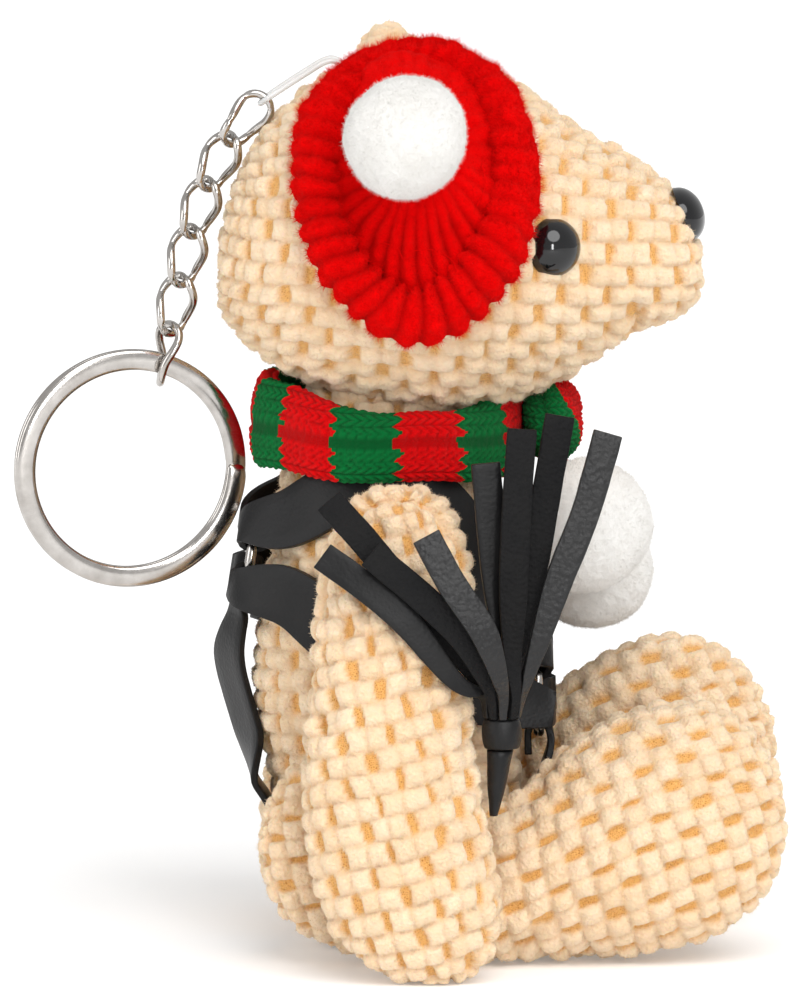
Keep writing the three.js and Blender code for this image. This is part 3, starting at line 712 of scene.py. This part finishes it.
def refined(grid, spacing):
    """The grid with its points about spacing apart."""
    round_ = np.linalg.norm(np.roll(grid, -1, 1) - grid, axis=-1).sum(1).max()
    along = np.linalg.norm(np.diff(grid, axis=0), axis=-1).sum(0).max()
    rows, columns = int(along / spacing), int(round_ / spacing / 4) * 4
    shrink = min(1.0, math.sqrt(MOST_POINTS / (rows * columns)))
    rows, columns = int(rows * shrink), int(columns * shrink / 4) * 4
    fine = cubic(grid, rows + 1, False)
    return np.moveaxis(cubic(np.moveaxis(fine, 1, 0), columns, True), 0, 1)


CLOTH_SCALE, CLOTH_STEPS, CLOTH_PRESSURE, MOST_SWELL = 10.0, 14, 2.2, 0.9


def stuffed(name, grid):
    """Blows the panels up a little with a cloth simulation, the seams held, and keeps the grid."""
    rows, columns = grid.shape[:2]
    inner = grid[1:-1]
    ends = grid[0, 0] * CLOTH_SCALE, grid[-1, 0] * CLOTH_SCALE
    obj = grid_object(name + "_cloth", inner * CLOTH_SCALE, ends=ends)
    group = obj.vertex_groups.new(name="held")
    seam = [i * columns + j for i in range(rows - 2) for j in (0, columns // 2)]
    group.add(seam + [len(obj.data.vertices) - 2, len(obj.data.vertices) - 1], 1.0, "REPLACE")
    cloth = obj.modifiers.new("cloth", "CLOTH")
    fabric = cloth.settings
    fabric.vertex_group_mass = "held"
    fabric.quality, fabric.mass = 6, 0.3
    fabric.tension_stiffness = fabric.compression_stiffness = 18
    fabric.bending_stiffness, fabric.shrink_min = 0.4, -0.015
    fabric.use_pressure, fabric.uniform_pressure_force = True, CLOTH_PRESSURE
    fabric.effector_weights.gravity = 0.0
    cloth.point_cache.frame_start, cloth.point_cache.frame_end = 1, CLOTH_STEPS
    for time in range(1, CLOTH_STEPS + 1):
        bpy.context.scene.frame_set(time)
    graph = bpy.context.evaluated_depsgraph_get()
    moved = read(obj.evaluated_get(graph).data.vertices, "co")[: inner.shape[0] * columns]
    moved = moved.reshape(inner.shape) / MM / CLOTH_SCALE
    bpy.context.scene.frame_set(1)
    bpy.data.objects.remove(obj)
    step = moved - inner
    step *= np.minimum(1.0, MOST_SWELL / np.maximum(lengths(step), 1e-9))
    out = grid.copy()
    out[1:-1] += np.nan_to_num(step)
    return out


FREE, UNDER, REACH = 9.0, 1.5, 3.0  # room where nothing lies on the plush; where a ray starts; its reach


def pressed(points, normals, nodes):
    """How far each point may rise before it meets one of the nodes that lie on the plush."""
    room = np.full(points.shape[:2], FREE)
    if not nodes:
        return room
    tree = tree_of(*nodes)
    for i in range(points.shape[0]):
        for j in range(points.shape[1]):
            n = normals[i, j]
            hit = tree.ray_cast(Vector(points[i, j] - n * UNDER), Vector(n), REACH + UNDER)
            if hit[0] is not None:
                room[i, j] = hit[3] - UNDER - 0.1
    return room


def tufts(u, v, seed, ragged):
    """Height of the pile from 0 to 1, how open the ground is plus painted shade in the creases, and a
    number for each pillow.
    """
    row = np.floor(v / ROW)
    ri = row.astype(np.int64)
    none = ri * 0
    y = (v / ROW - row) * 2 - 1
    shift = np.where(ri % 2 == 0, 0.0, PERIOD / 2) + 0.3 * hashed(ri, none, none + 3, seed)
    a = (u + shift) / PERIOD
    ci = np.floor(a).astype(np.int64)
    x = (a - ci) * PERIOD
    slit = SLIT * (1 + 0.4 * hashed(ci, ri, none + 5, seed))
    following = SLIT * (1 + 0.4 * hashed(ci + 1, ri, none + 5, seed))
    middle = (slit + PERIOD) / 2 + 0.2 * hashed(ci, ri, none + 7, seed)
    narrow = 1 - 0.5 * np.abs(y) ** 4
    before = np.abs(x - slit / 2) - slit / 2 * narrow
    after = PERIOD + following / 2 - x - following / 2 * narrow
    clear = np.minimum(before, after) + 0.17 * ragged
    second = x > middle
    one = ci * 2 + second
    tall = 1 + 0.16 * hashed(one, ri, none + 11, seed)
    side = np.sqrt(np.clip(1 - (1 - np.clip(clear / SHOULDER, 0, 1)) ** 2, 0, 1))
    pair = PAIR_DIP * np.exp(-(((x - middle) / PAIR_WIDTH) ** 2))
    rim = np.clip((1 - np.abs(y)) * ROW / 2 + 0.1 * ragged, 0, ROW)
    rows = ROW_DIP * np.exp(-((rim / ROW_WIDTH) ** 2))
    dome = 1 - 0.26 * y**2
    h = side * (1 - pair) * (1 - rows) * dome * tall
    ground = np.clip(1 - clear / 0.22, 0, 1) * np.clip(1.3 - y**6, 0, 1)
    # painted shade: the creases between rows and between the two pillows of a pair take part of the slit's
    # dark colour
    crease = np.clip(rows / ROW_DIP, 0, 1) * 0.3 + pair / PAIR_DIP * 0.22
    gap = np.clip(np.maximum(ground, crease * (clear > 0)), 0, 1)
    return h, gap, 0.5 + 0.5 * hashed(one, ri, none + 17, seed)


def sunken(points):
    """How far, from 0 to 1, the spine strap lies in its groove low on the back."""
    x, z = points[..., 0], points[..., 2]
    return ease(21.5 - z, 0, 5) * ease(z, 1.2, 3.5) * ease(-x, 2, 6)


MOST_FIBRES = 42000


def plush(name, node, body, axis, rows_along, tilt, seed, under=(), spacing=0.4, steps=34, sides=36,
          creases=(), swung=()):
    """A stuffed piece under rows of pillows, which run along the axis or round it.

    under are the nodes that lie on it, creases are stitched or rubbed lines in X and Z, and swung are
    nodes that it has to clear after a turn about a pivot."""
    fine = refined(stuffed(name, sampled(node, axis, steps, sides)), spacing)
    rows, columns = fine.shape[:2]
    along = np.linalg.norm(np.diff(fine, axis=0), axis=-1)
    m = np.concatenate([np.zeros((1, columns)), np.cumsum(along, axis=0)])
    m -= m[rows // 2]
    step = np.linalg.norm(np.roll(fine, -1, 1) - fine, axis=-1)
    around = np.concatenate([np.zeros((rows, 1)), np.cumsum(step, axis=1)[:, :-1]], axis=1)
    total = step.sum(1, keepdims=True)
    quarter, half = columns // 4, columns // 2
    index = np.arange(columns)
    near = (index > 0) & (index < half)
    w = np.where(near, around[:, quarter][:, None] - around, around - around[:, 3 * quarter][:, None])
    w[:, 0] = around[:, quarter]
    seam = np.minimum(np.minimum(around, total - around), np.abs(around - around[:, half][:, None]))
    turn = rad(tilt)
    u0, v0 = (m, w) if rows_along else (w, m)
    warp = fine + 7.7 * seed
    u = u0 * math.cos(turn) + v0 * math.sin(turn) + 0.42 * noise(warp, 4.5, seed + 1)
    v = v0 * math.cos(turn) - u0 * math.sin(turn) + 0.32 * noise(warp, 4.0, seed + 2)
    u = u + np.where(near, 1.3, 0.0)
    ragged = noise(warp, 1.0, seed + 6)
    h, gap, cell = tufts(u, v, seed, ragged)
    n = normals_of(fine)
    n[0], n[-1] = n[1].mean(0), n[-2].mean(0)
    calm = ease(seam, 0.15, 1.5)
    fuzz = 0.1 * noise(warp, 0.8, seed + 3) + 0.15 * noise(warp, 1.3, seed + 4)
    height = (TUFT * h * (0.35 + 0.65 * calm)) + fuzz * (0.35 + 0.65 * np.clip(h, 0, 1)) - SUNK
    height -= SEAM_DIP * (1 - ease(seam, 0.0, 0.9))
    fold = np.zeros(height.shape)
    for x0, z0, x1, z1, deep, wide, crease_shade in creases:
        run = np.array([x1 - x0, z1 - z0])
        at = fine[..., [0, 2]] - np.array([x0, z0])
        t = np.clip((at @ run) / (run @ run), 0, 1)
        away = np.linalg.norm(at - t[..., None] * run, axis=-1)
        line = np.exp(-((away / wide) ** 2))
        height -= deep * line
        # painted shade along each crease, as dark as the crease's darkness
        fold = np.maximum(fold, crease_shade * line)
    room = pressed(fine, n, under)
    if "spine_strap" in under:
        room = np.where(room < 5, room - 1.5 * sunken(fine), room)
    for pivot, angle, nodes in swung:
        c, d = math.cos(rad(angle)), math.sin(rad(angle))
        turn_y = np.array([[c, 0, d], [0, 1, 0], [-d, 0, c]])
        moved = (fine - pivot) @ turn_y + pivot
        room = np.minimum(room, pressed(moved, n @ turn_y, nodes) - 0.3)
    if under or swung:
        for _ in range(3):
            room = np.minimum(room, np.minimum(np.roll(room, 1, 1), np.roll(room, -1, 1)) + ROOM_STEP)
            room[1:-1] = np.minimum(room[1:-1], np.minimum(room[:-2], room[2:]) + ROOM_STEP)
        height = np.minimum(height, room)
    out = fine + n * height[..., None]
    out[..., 2] = np.maximum(out[..., 2], 0.0)
    # painted shade along the creases and at the seams, added to how open the ground is
    gap = np.clip(np.maximum(gap, fold) + 0.3 * (1 - ease(seam, 0.0, 0.8)), 0, 1)
    values = {"gap": gap[1:-1], "cell": cell[1:-1]}
    obj = grid_object(name, out[1:-1], values, ends=tips(out))
    place(obj, body, "plush", PLUSH, node)
    whole = np.linalg.norm(fine.max((0, 1)) - fine.min((0, 1)))
    fibres(obj, body, "plush", PLUSH, int(min(6 * whole**2, MOST_FIBRES)), 0.42, 0.036, seed)


STRAPS = [kind + side for kind in ("shoulder_strap", "side_strap") for side in ("_left", "_right")]
STRAPS.append("spine_strap")
# Creases: x0, z0, x1, z1, depth, width and darkness, which is painted shade along the crease.
MOUTH = [(28.4, 77.4, 29.6, 79.2, 0.55, 0.5, 0.8), (29.6, 79.2, 30.3, 81.2, 0.75, 0.42, 0.8)]
RUBBED = [(-21.5, 100.0, -26.5, 85.5, 1.0, 3.4, 0.0)]  # where the chain lies on the head
plush("head_plush", "head", "bear", "x", True, -3, 11, ["hat_brim"], 0.42, steps=40, sides=44,
      creases=MOUTH + RUBBED)
plush("torso_plush", "torso", "bear", "z", False, 4, 23, STRAPS + ["scarf_wrap"], 0.44)
for word, seed in (("right", 31), ("left", 37)):
    arm, leg, ear = word + "_arm", word + "_leg", "ear_" + word
    plush(arm + "_plush", arm, arm, "z", False, 13, seed)
    lifted = [(RIGHT_HIP, LEG_LIFT, ["side_strap_right"])] if word == "right" else []
    plush(leg + "_plush", leg, leg, "x", False, -12, seed + 10, swung=lifted)
    plush(ear + "_plush", ear, "bear", "x", True, 0, seed + 20, spacing=0.36, steps=16, sides=20)


# ---------------------------------------------------------------- hat
def hat_point(fore, over, up):
    """A place in the frame of the hat, which leans to the bear's right."""
    return (
        HAT_MIDDLE
        + np.multiply.outer(fore, [1.0, 0, 0])
        + np.multiply.outer(over, HAT_ACROSS)
        + np.multiply.outer(up, HAT_AXIS)
    )


def ribbed(s, across, seed, points):
    """Rounded ribs of brushed knitting: s runs over the ribs and across runs along them."""
    s = s + 0.6 * noise(points, 4.5, seed)
    rib = np.abs(np.sin(math.pi * s / RIB)) ** 1.1
    lean = 0.45 * np.abs(np.cos(math.pi * s / RIB))
    stitch = np.abs(np.sin(math.pi * (across + lean) / STITCH))
    fuzz = 0.16 * noise(points, 0.8, seed + 1) + 0.26 * noise(points, 1.7, seed + 2)
    return rib, stitch, fuzz


def hat_brim():
    """The rolled, ribbed edge: a ring of ribs round an ellipse on a ball."""
    rows, columns = 330, 56
    phi = round_turn(rows)
    fore, over = BRIM_HALF_LENGTH * np.cos(phi), BRIM_HALF_WIDTH * np.sin(phi)
    path = hat_point(fore, over, np.sqrt(BRIM_REACH**2 - fore**2 - over**2))
    tangent = np.roll(path, -1, 0) - np.roll(path, 1, 0)
    tangent /= lengths(tangent)
    out = path - HAT_MIDDLE
    out /= lengths(out)
    side = np.cross(tangent, out)
    length = np.linalg.norm(np.roll(path, -1, 0) - path, axis=1)
    s = np.concatenate([[0], np.cumsum(length)[:-1]])
    ribs = round(length.sum() / RIB)
    psi = round_turn(columns)
    flat = 1 + 0.16 * np.cos(phi + 0.9) ** 2
    a, b = np.cos(psi)[None, :, None], np.sin(psi)[None, :, None]
    base = path[:, None] + BRIM_RADIUS * (
        out[:, None] * a * 0.95 + side[:, None] * b * flat[:, None, None]
    )
    n = out[:, None] * a + side[:, None] * b
    coord = s[:, None] / length.sum() * ribs + 0.16 * np.sin(psi)[None, :]
    rib, stitch, fuzz = ribbed(coord * RIB, psi[None, :] * BRIM_RADIUS, 61, base)
    lumps = 0.45 * noise(base, 6.5, 67)
    worn = 0.32 + 0.68 * ease(-np.sin(phi + 0.35), -0.5, 0.45)[:, None]
    height = -0.4 + (0.62 * rib + 0.3 * stitch * rib) * worn + fuzz * 1.15 + lumps
    grid = base + n * height[..., None]
    # painted shade in the hollows between the ribs, less where the ribs are flatter
    gap = np.clip(1 - rib * 1.25, 0, 1) * worn
    return grid_object("hat_brim_knit", grid, {"gap": gap}, wrap_rows=True)


def hat_crown():
    """The ribbed crown, lying on the head and the flattened ear inside the brim."""
    A, P = ball(150, 300, 0.03, 0.04)
    rx, ry, rz = CROWN_RADII
    ry = np.where(np.sin(P) > 0, ry, ry - 1.9)
    fore, over = rx * np.sin(A) * np.cos(P), ry * np.sin(A) * np.sin(P)
    base = hat_point(fore, over, 8 + rz * np.cos(A))
    tree = tree_of("head", "ear_right")
    reach = np.linalg.norm(base - HAT_MIDDLE, axis=-1)
    onto = BRIM_REACH / reach
    within = (fore * onto / BRIM_HALF_LENGTH) ** 2 + (over * onto / BRIM_HALF_WIDTH) ** 2 < 1.0
    extra = np.zeros(reach.shape)
    for i, j in zip(*np.nonzero(within & (A < 1.5))):
        way = (base[i, j] - HAT_MIDDLE) / reach[i, j]
        hit = far_hit(tree, HAT_MIDDLE, way)
        if hit is not None:
            extra[i, j] = max(0.0, (hit - HAT_MIDDLE) @ way + CROWN_OVER_PLUSH - reach[i, j])
    for _ in range(10):
        spread = (np.roll(extra, 2, 1) + extra + np.roll(extra, -2, 1)) / 3
        spread[1:-1] = (spread[:-2] + spread[1:-1] + spread[2:]) / 3
        extra = np.maximum(extra * 0.97, spread)
    base = base + (base - HAT_MIDDLE) / reach[..., None] * extra[..., None]
    n = normals_of(base)
    coord = P / (TURN / CROWN_RIBS) + 0.5 * np.sin(2.2 * A)
    rib, stitch, fuzz = ribbed(coord * RIB, A * 19, 71, base)
    fuzz = fuzz * (0.3 + 0.7 * ease(np.sin(A), 0.1, 0.4))
    fade = ease(np.sin(A), 0.22, 0.75) * (0.25 + 0.75 * ease(-np.sin(P), -0.2, 0.7))
    fold = 0.5 * np.cos(5 * P + 1.3) * ease(A, 0.35, 0.8)
    height = -0.35 + (0.6 * rib + 0.2 * stitch * rib) * fade + fuzz + fold * 0.6
    height += 0.4 * noise(base, 4.0, 73)
    grid = base + n * height[..., None]
    # painted shade in the hollows between the ribs, fading where the ribs fade
    gap = np.clip(1 - rib * 1.3, 0, 1) * fade
    return grid_object("hat_crown_knit", grid, {"gap": gap}, ends=tips(grid))


def pompom(name, centre, radius, seed):
    """A ball of short pile, a little flattened and lumpy."""
    n = unit_ball(*ball(120, 200, 0.03, 0.03))
    base = n * radius
    lumps = 0.5 * noise(base, 8.0, seed) + 0.1 * noise(base, 3.2, seed + 1)
    pile = 0.09 * noise(base, 0.75, seed + 2) + 0.07 * noise(base, 0.45, seed + 3)
    grid = np.array(centre) + n * (radius + lumps + pile - 0.2)[..., None]
    return grid_object(name, grid, ends=tips(grid))


def thread(name, points, radius):
    """A loose hair of yarn through the points."""
    path = np.array(points, float)
    count = 12 * (len(path) - 1) + 1
    t = np.linspace(0, len(path) - 1, count)
    over = np.concatenate([2 * path[:1] - path[1:2], path, 2 * path[-1:] - path[-2:-1]])
    i = np.minimum(np.floor(t).astype(int), len(path) - 2)
    f = (t - i)[:, None]
    run = catmull_rom(over[i], over[i + 1], over[i + 2], over[i + 3], f)
    ahead = np.gradient(run, axis=0)
    ahead /= lengths(ahead)
    side = np.cross(ahead, [0.13, -0.9, 0.41])  # any direction that no hair runs along
    side /= lengths(side)
    other = np.cross(ahead, side)
    psi = round_turn(6)
    grid = run[:, None] + radius * (
        side[:, None] * np.cos(psi)[None, :, None] + other[:, None] * np.sin(psi)[None, :, None]
    )
    return grid_object(name, grid)


place(hat_brim(), "bear", "hat_knit", RED_KNIT, "hat_brim")
place(hat_crown(), "bear", "hat_knit", RED_KNIT, "hat_crown")
place(pompom("hat_pompom_pile", *HAT_POMPOM, 81), "bear", "pompom", POMPOM, "hat_pompom")
for piece, slot, material, count, length, seed in (
    ("hat_brim_knit", "hat_knit", RED_KNIT, 26000, 0.95, 201),
    ("hat_crown_knit", "hat_knit", RED_KNIT, 14000, 0.8, 203),
    ("hat_pompom_pile", "pompom", POMPOM, 9000, 0.5, 205),
):
    fibres(bpy.data.objects[piece], "bear", slot, material, count, length, 0.03, seed)


def draped(pairs, lift):
    """Places on the near side of the hat, seen along Y, lifted off it a little."""
    graph = bpy.context.evaluated_depsgraph_get()
    trees = [BVHTree.FromObject(bpy.data.objects[k], graph) for k in ("hat_brim_knit", "hat_crown_knit")]
    out = []
    for x, z in pairs:
        hits = [t.ray_cast(Vector((x, -60, z)) * MM, Vector((0, 1, 0)), 0.09)[0] for t in trees]
        depths = [h.y / MM for h in hits if h is not None]
        if depths:
            out.append((x, min(depths) - lift, z))
    return out


# The loose hairs of the hat: places in X and Z.
HAIRS = (
    ((-2.2, 91.6), (-0.4, 91.2), (0.4, 89.7), (1.2, 90.6), (3.8, 90.8), (6.1, 89.7), (7.0, 88.3),
     (6.0, 87.4), (4.5, 88.0), (3.2, 89.8)),
    ((-6.4, 104.0), (-5.6, 106.3), (-6.3, 108.4)),
    ((9.5, 96.0), (10.6, 98.6), (10.2, 101.0), (11.2, 102.4)),
)
for i, pairs in enumerate(HAIRS):
    hair = thread(f"loose_hair_{i + 1}", draped(pairs, 0.5 + 0.2 * i), 0.05)
    place(hair, "bear", "hat_knit", RED_KNIT)


# ---------------------------------------------------------------- scarf
def leaning(across):
    """0 in the middle of a wale and 1 at its edges."""
    w = across / WALE
    return np.abs((w - np.floor(w)) * 2 - 1)


def stitched(along, across, seed, points):
    """Jersey knitting: V stitches in wales that run along the scarf."""
    a = leaning(across)
    b = (along + STITCH_LEAN * a + 0.25 * noise(points, 2.5, seed + 2)) / COURSE
    strand = np.abs(np.sin(math.pi * b)) ** 0.8
    column = np.clip(1 - a**6, 0, 1) * (0.6 + 0.4 * np.clip(a * 3, 0, 1))
    fuzz = 0.09 * noise(points, 0.6, seed) + 0.1 * noise(points, 1.3, seed + 1)
    return strand * column, fuzz


def scarf_band():
    """The part round the neck, gathered under the chin."""
    T, S = np.meshgrid(round_turn(420), round_turn(110), indexing="ij")
    swell = SCARF_THICKNESS / 2 * (1 + power(np.cos(S), 0.62))
    under_chin = np.clip(np.sin(T) ** 2 * (1 + 0.6 * np.cos(T)), 0, 1)
    up = SCARF_HEIGHT / 2 * power(np.sin(S), 0.62)
    up = np.where(up > 0, up * (1.06 - 0.5 * under_chin), up)
    swell = swell - 0.14 * np.clip(up, 0, 9)
    ripple = 0.45 * np.cos(7 * T + 0.6) * (0.4 + 0.6 * np.sin(S) ** 2) + 0.25 * np.cos(11 * T - 1.1)
    lean = 0.5 * np.cos(T - 2.6)
    x = SCARF_MIDDLE[0] + (SCARF_INNER[0] + swell + ripple * 0.6) * np.cos(T)
    y = (SCARF_INNER[1] + swell + ripple * 0.6) * np.sin(T)
    z = SCARF_MIDDLE[2] + up + lean + 0.25 * np.cos(5 * T)
    base = np.stack([x, y, z], -1)
    n = normals_of(base, True)
    across = np.cumsum(lengths(base - np.roll(base, 1, 1))[..., 0], axis=1)
    across = across - across[:, :1]
    across = np.where(S > math.pi, across - across[:, -1:], across)
    h, fuzz = stitched(T * SCARF_RADIUS, across, 91, base)
    grid = base + n * (0.42 * h - 0.12 + fuzz)[..., None]
    tooth = T + STITCH_LEAN * leaning(across) / SCARF_RADIUS
    back = np.degrees(np.abs(tooth % TURN - math.pi))
    turned = (180.7 - back + 0.9 * noise(base, 1.2, 95)) / SCARF_STRIPE
    stripe = np.floor(turned + 1).astype(int) % 2
    # painted shade between the stitches
    values = {"gap": np.clip(1 - 1.5 * h, 0, 1), "stripe": stripe.astype(float)}
    return grid_object("scarf_band_knit", grid, values, wrap_rows=True)


def scarf_knot():
    """The crossed ends of the scarf, wound over each other."""
    A, P = ball(110, 180, 0.04, 0.04)
    base = KNOT_MIDDLE + unit_ball(A, P) * KNOT_RADII
    n = normals_of(base)
    twist = P * 2 + 1.5 * np.cos(A)
    fold = np.abs(np.sin(twist)) ** 0.7
    h, fuzz = stitched(P * 5.0, A * 6.0, 101, base)
    grid = base + n * (0.75 * fold - 0.55 + 0.34 * h + fuzz)[..., None]
    stripe = (np.sin(twist * 0.5 + 0.7) > 0).astype(float)
    # painted shade between the stitches and in the folds
    values = {"gap": np.clip(1.1 - 1.2 * h * (0.4 + 0.6 * fold), 0, 1), "stripe": stripe}
    return grid_object("scarf_knot_knit", grid, values, ends=tips(grid))


def scarf_tail(word, node):
    """A knitted tail from the knot down into its pompom."""
    low, high = (np.array(corner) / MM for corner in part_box(node))
    top = np.array(TAIL_TOPS[word])
    foot = np.array([*(low + high - top)[:2], low[2]])
    rows, columns = 60, 64
    t = np.linspace(0, 1, rows)
    centre = top + (foot - top) * t[:, None]
    psi = round_turn(columns)
    wide = 2.7 + 0.25 * np.sin(3 * t + 1)
    base = centre[:, None] + np.stack(
        [
            1.05 * power(np.cos(psi), 0.7)[None] * np.ones((rows, 1)),
            wide[:, None] * power(np.sin(psi), 0.7)[None],
            np.zeros((rows, columns)),
        ],
        -1,
    )
    n = normals_of(base)
    across = np.cumsum(np.linalg.norm(np.roll(base, -1, 1) - base, axis=-1), axis=1)
    h, fuzz = stitched(t[:, None] * np.linalg.norm(foot - top), across, 111, base)
    grid = base + n * (0.36 * h - 0.1 + fuzz)[..., None]
    stripe = np.broadcast_to((np.sin(t * 9 + (1 if word == "left" else 2.4)) > 0)[:, None], h.shape)
    # painted shade between the stitches
    values = {"gap": np.clip(1 - 1.5 * h, 0, 1), "stripe": stripe.astype(float)}
    return grid_object(node + "_knit", grid, values, ends=tips(grid))


band = place(scarf_band(), "bear", "scarf_knit", SCARF_KNIT, "scarf_wrap")
knot = place(scarf_knot(), "bear", "scarf_knit", SCARF_KNIT, "scarf_knot")
for word, seed in (("right", 121), ("left", 127)):
    body, tail, end = "scarf_end_" + word, "scarf_tail_" + word, "scarf_pompom_" + word
    place(scarf_tail(word, tail), body, "scarf_knit", SCARF_KNIT, tail)
    pile = place(pompom(end + "_pile", *SCARF_POMPOMS[word], seed), body, "pompom", POMPOM, end)
    fibres(pile, body, "pompom", POMPOM, 9000, 0.5, 0.03, seed + 2)


# ---------------------------------------------------------------- harness and whisk
CUT_EDGE_WIDTH, CUT_EDGE_AREA = 1.15, 3.2  # the faces of a ribbon that show its backing, mm and mm2


def strap(node, body, face, bevel):
    """A ribbon of coated fabric: the CAD ribbon rounded along its run, with worked edges."""
    bm = quads_of(node, 40, 55)
    for f in bm.faces:
        second = sorted(e.calc_length() / MM for e in f.edges)[1]
        cut_edge = second < CUT_EDGE_WIDTH and f.calc_area() / MM**2 < CUT_EDGE_AREA
        f.material_index = int(cut_edge)
    name = node + "_leather"
    obj = finished(name, mesh_of(bm, name, face, BACKING))
    rounded(obj, 2)
    edge = obj.modifiers.new("edge", "BEVEL")
    edge.width, edge.segments, edge.limit_method, edge.angle_limit = bevel * MM, 2, "ANGLE", rad(45)
    applied(obj)
    displaced(obj, lambda p: 0.05 * noise(p, 3.0, 131) + 0.02 * noise(p, 0.8, 133))
    return place(obj, body, "strap_leather", face, node)


# The spine strap is turned about its run between these heights, and its foot is drawn in under the seat.
SPINE_LOW, SPINE_HIGH, SPINE_TURN = 17, 52, rad(25)


def shaped_spine(obj):
    p = points_of(obj)
    p += sunken(p)[:, None] * np.array([1.4, 0, 0.6])
    back = (p[:, 0] < -8) & (p[:, 2] > SPINE_LOW) & (p[:, 2] < SPINE_HIGH)
    run = np.polynomial.Polynomial.fit(p[back, 2], p[back, 0], 5)
    z = np.clip(p[:, 2], SPINE_LOW, SPINE_HIGH)
    turn = SPINE_TURN * ease(z, 20, 28) * ease(-z, -47, -41) * (p[:, 0] < -8)
    off = p[:, 0] - run(z)
    x, y = off * np.cos(turn) - p[:, 1] * np.sin(turn), off * np.sin(turn) + p[:, 1] * np.cos(turn)
    twisted = turn > 0
    p[twisted, 0] = (run(z) + x + 0.9 * turn / SPINE_TURN)[twisted]
    p[twisted, 1] = y[twisted]
    seat = ease(4.5 - p[:, 2], 0, 2) * ease(-p[:, 0], 5, 8)
    p[:, 0] -= seat * (p[:, 0] + 6) * 0.7
    move_points(obj, p)


for node in STRAPS:
    made = strap(node, "bear", LEATHER, 0.16)
    if node == "spine_strap":
        shaped_spine(made)
for i in range(1, 9):
    face = {1: WOVEN, 3: WOVEN, 4: PEBBLED, 6: WOVEN, 7: WOVEN, 8: PEBBLED}.get(i, LEATHER)
    strap(f"whisk_strip_{i}", "right_arm", face, 0.12)
for node in ("whisk_binding", "whisk_handle"):
    obj = smooth_copy(node, node + "_leather", 2, 60)
    displaced(obj, lambda p: 0.06 * noise(p, 1.6, 141))
    place(obj, "right_arm", "strap_leather", LEATHER, node)


# ---------------------------------------------------------------- rings, chain, loop, face
def wire(node, body, grow):
    place(smooth_copy(node, node + "_wire", 2, grow=grow), body, "steel", STEEL, node)


for node in ("back_ring", "chest_ring"):
    wire(node, "bear", 0.12)
for i in range(1, 7):
    wire(f"chain_link_{i}", f"chain_{i}", 0.08)
wire("key_ring", "key_ring", 0.1)
loop = smooth_copy("hanging_loop", "hanging_loop_line", 2, grow=0.03)
place(loop, "bear", "clear_line", LINE, "hanging_loop")
for node in ("eye_left", "eye_right", "nose"):
    place(smooth_copy(node, node + "_dome", 3, 60, grow=0.02), "bear", "eye_plastic", GLOSS, node)
    washer = NODES[node + "_washer"].data.materials
    washer.clear()
    washer.append(WASHER)


# ---------------------------------------------------------------- camera, floor and light, in metres
SENSOR, VIEW_WIDTH, CAMERA_DISTANCE = 36, 0.125, 2.5
CAMERA_TARGET, CAMERA_HEIGHT = Vector((0.625, 0, 56.06)) * MM, rad(8)
FLOOR_HALF, FLOOR_LEVEL = 3.0, -0.0002


def aimed(obj, way):
    """Turns a camera or a light to look along way."""
    obj.rotation_mode = "QUATERNION"
    obj.rotation_quaternion = way.to_track_quat("-Z", "Y")


def camera():
    data = bpy.data.cameras.new("camera")
    data.lens = SENSOR * CAMERA_DISTANCE / VIEW_WIDTH
    data.clip_start, data.clip_end = 0.1, 20
    obj = linked("camera", data)
    back = Vector((0, -math.cos(CAMERA_HEIGHT), math.sin(CAMERA_HEIGHT)))
    obj.location = CAMERA_TARGET + back * CAMERA_DISTANCE
    aimed(obj, -back)
    bpy.context.scene.camera = obj


def floor():
    mesh = bpy.data.meshes.new("floor")
    square = ((-1, -1), (1, -1), (1, 1), (-1, 1))
    corners = [(x * FLOOR_HALF, y * FLOOR_HALF, FLOOR_LEVEL) for x, y in square]
    mesh.from_pydata(corners, [], [(0, 1, 2, 3)])
    s = Shader("studio_floor")
    s.colour(s.ramp(s.noise(400.0, 2.0), (0.3, (0.91, 0.91, 0.91)), (0.8, (0.93, 0.93, 0.93))))
    s.set(Roughness=0.9, Specular_IOR_Level=0.1)
    s.set(Emission_Strength=0.16, Emission_Color=(1.0, 1.0, 1.0, 1.0))
    mesh.materials.append(s.material)
    linked("floor", mesh)


def area_light(name, location, target, size, watts):
    data = bpy.data.lights.new(name, "AREA")
    data.shape, data.size, data.size_y = "RECTANGLE", *size
    data.energy = watts
    obj = linked(name, data)
    obj.location = location
    aimed(obj, Vector(target) - Vector(location))


camera()
floor()
sun = bpy.data.lights.new("sun", "SUN")
sun.energy, sun.angle = 1.95, rad(45)
aimed(linked("sun", sun), Vector((-0.28, 0.68, -0.82)))
area_light("window", (0.2, -0.75, 0.2), (0.02, 0, 0.07), (0.09, 0.26), 1.4)
area_light("side", (-0.7, -0.4, 0.3), (0, 0, 0.05), (0.4, 0.5), 1.6)
world = bpy.data.worlds.new("studio")
world.use_nodes = True
background = world.node_tree.nodes["Background"].inputs
background[0].default_value, background[1].default_value = (1, 1, 1, 1), 0.62
bpy.context.scene.world = world
bpy.context.scene.view_settings.view_transform = "Standard"
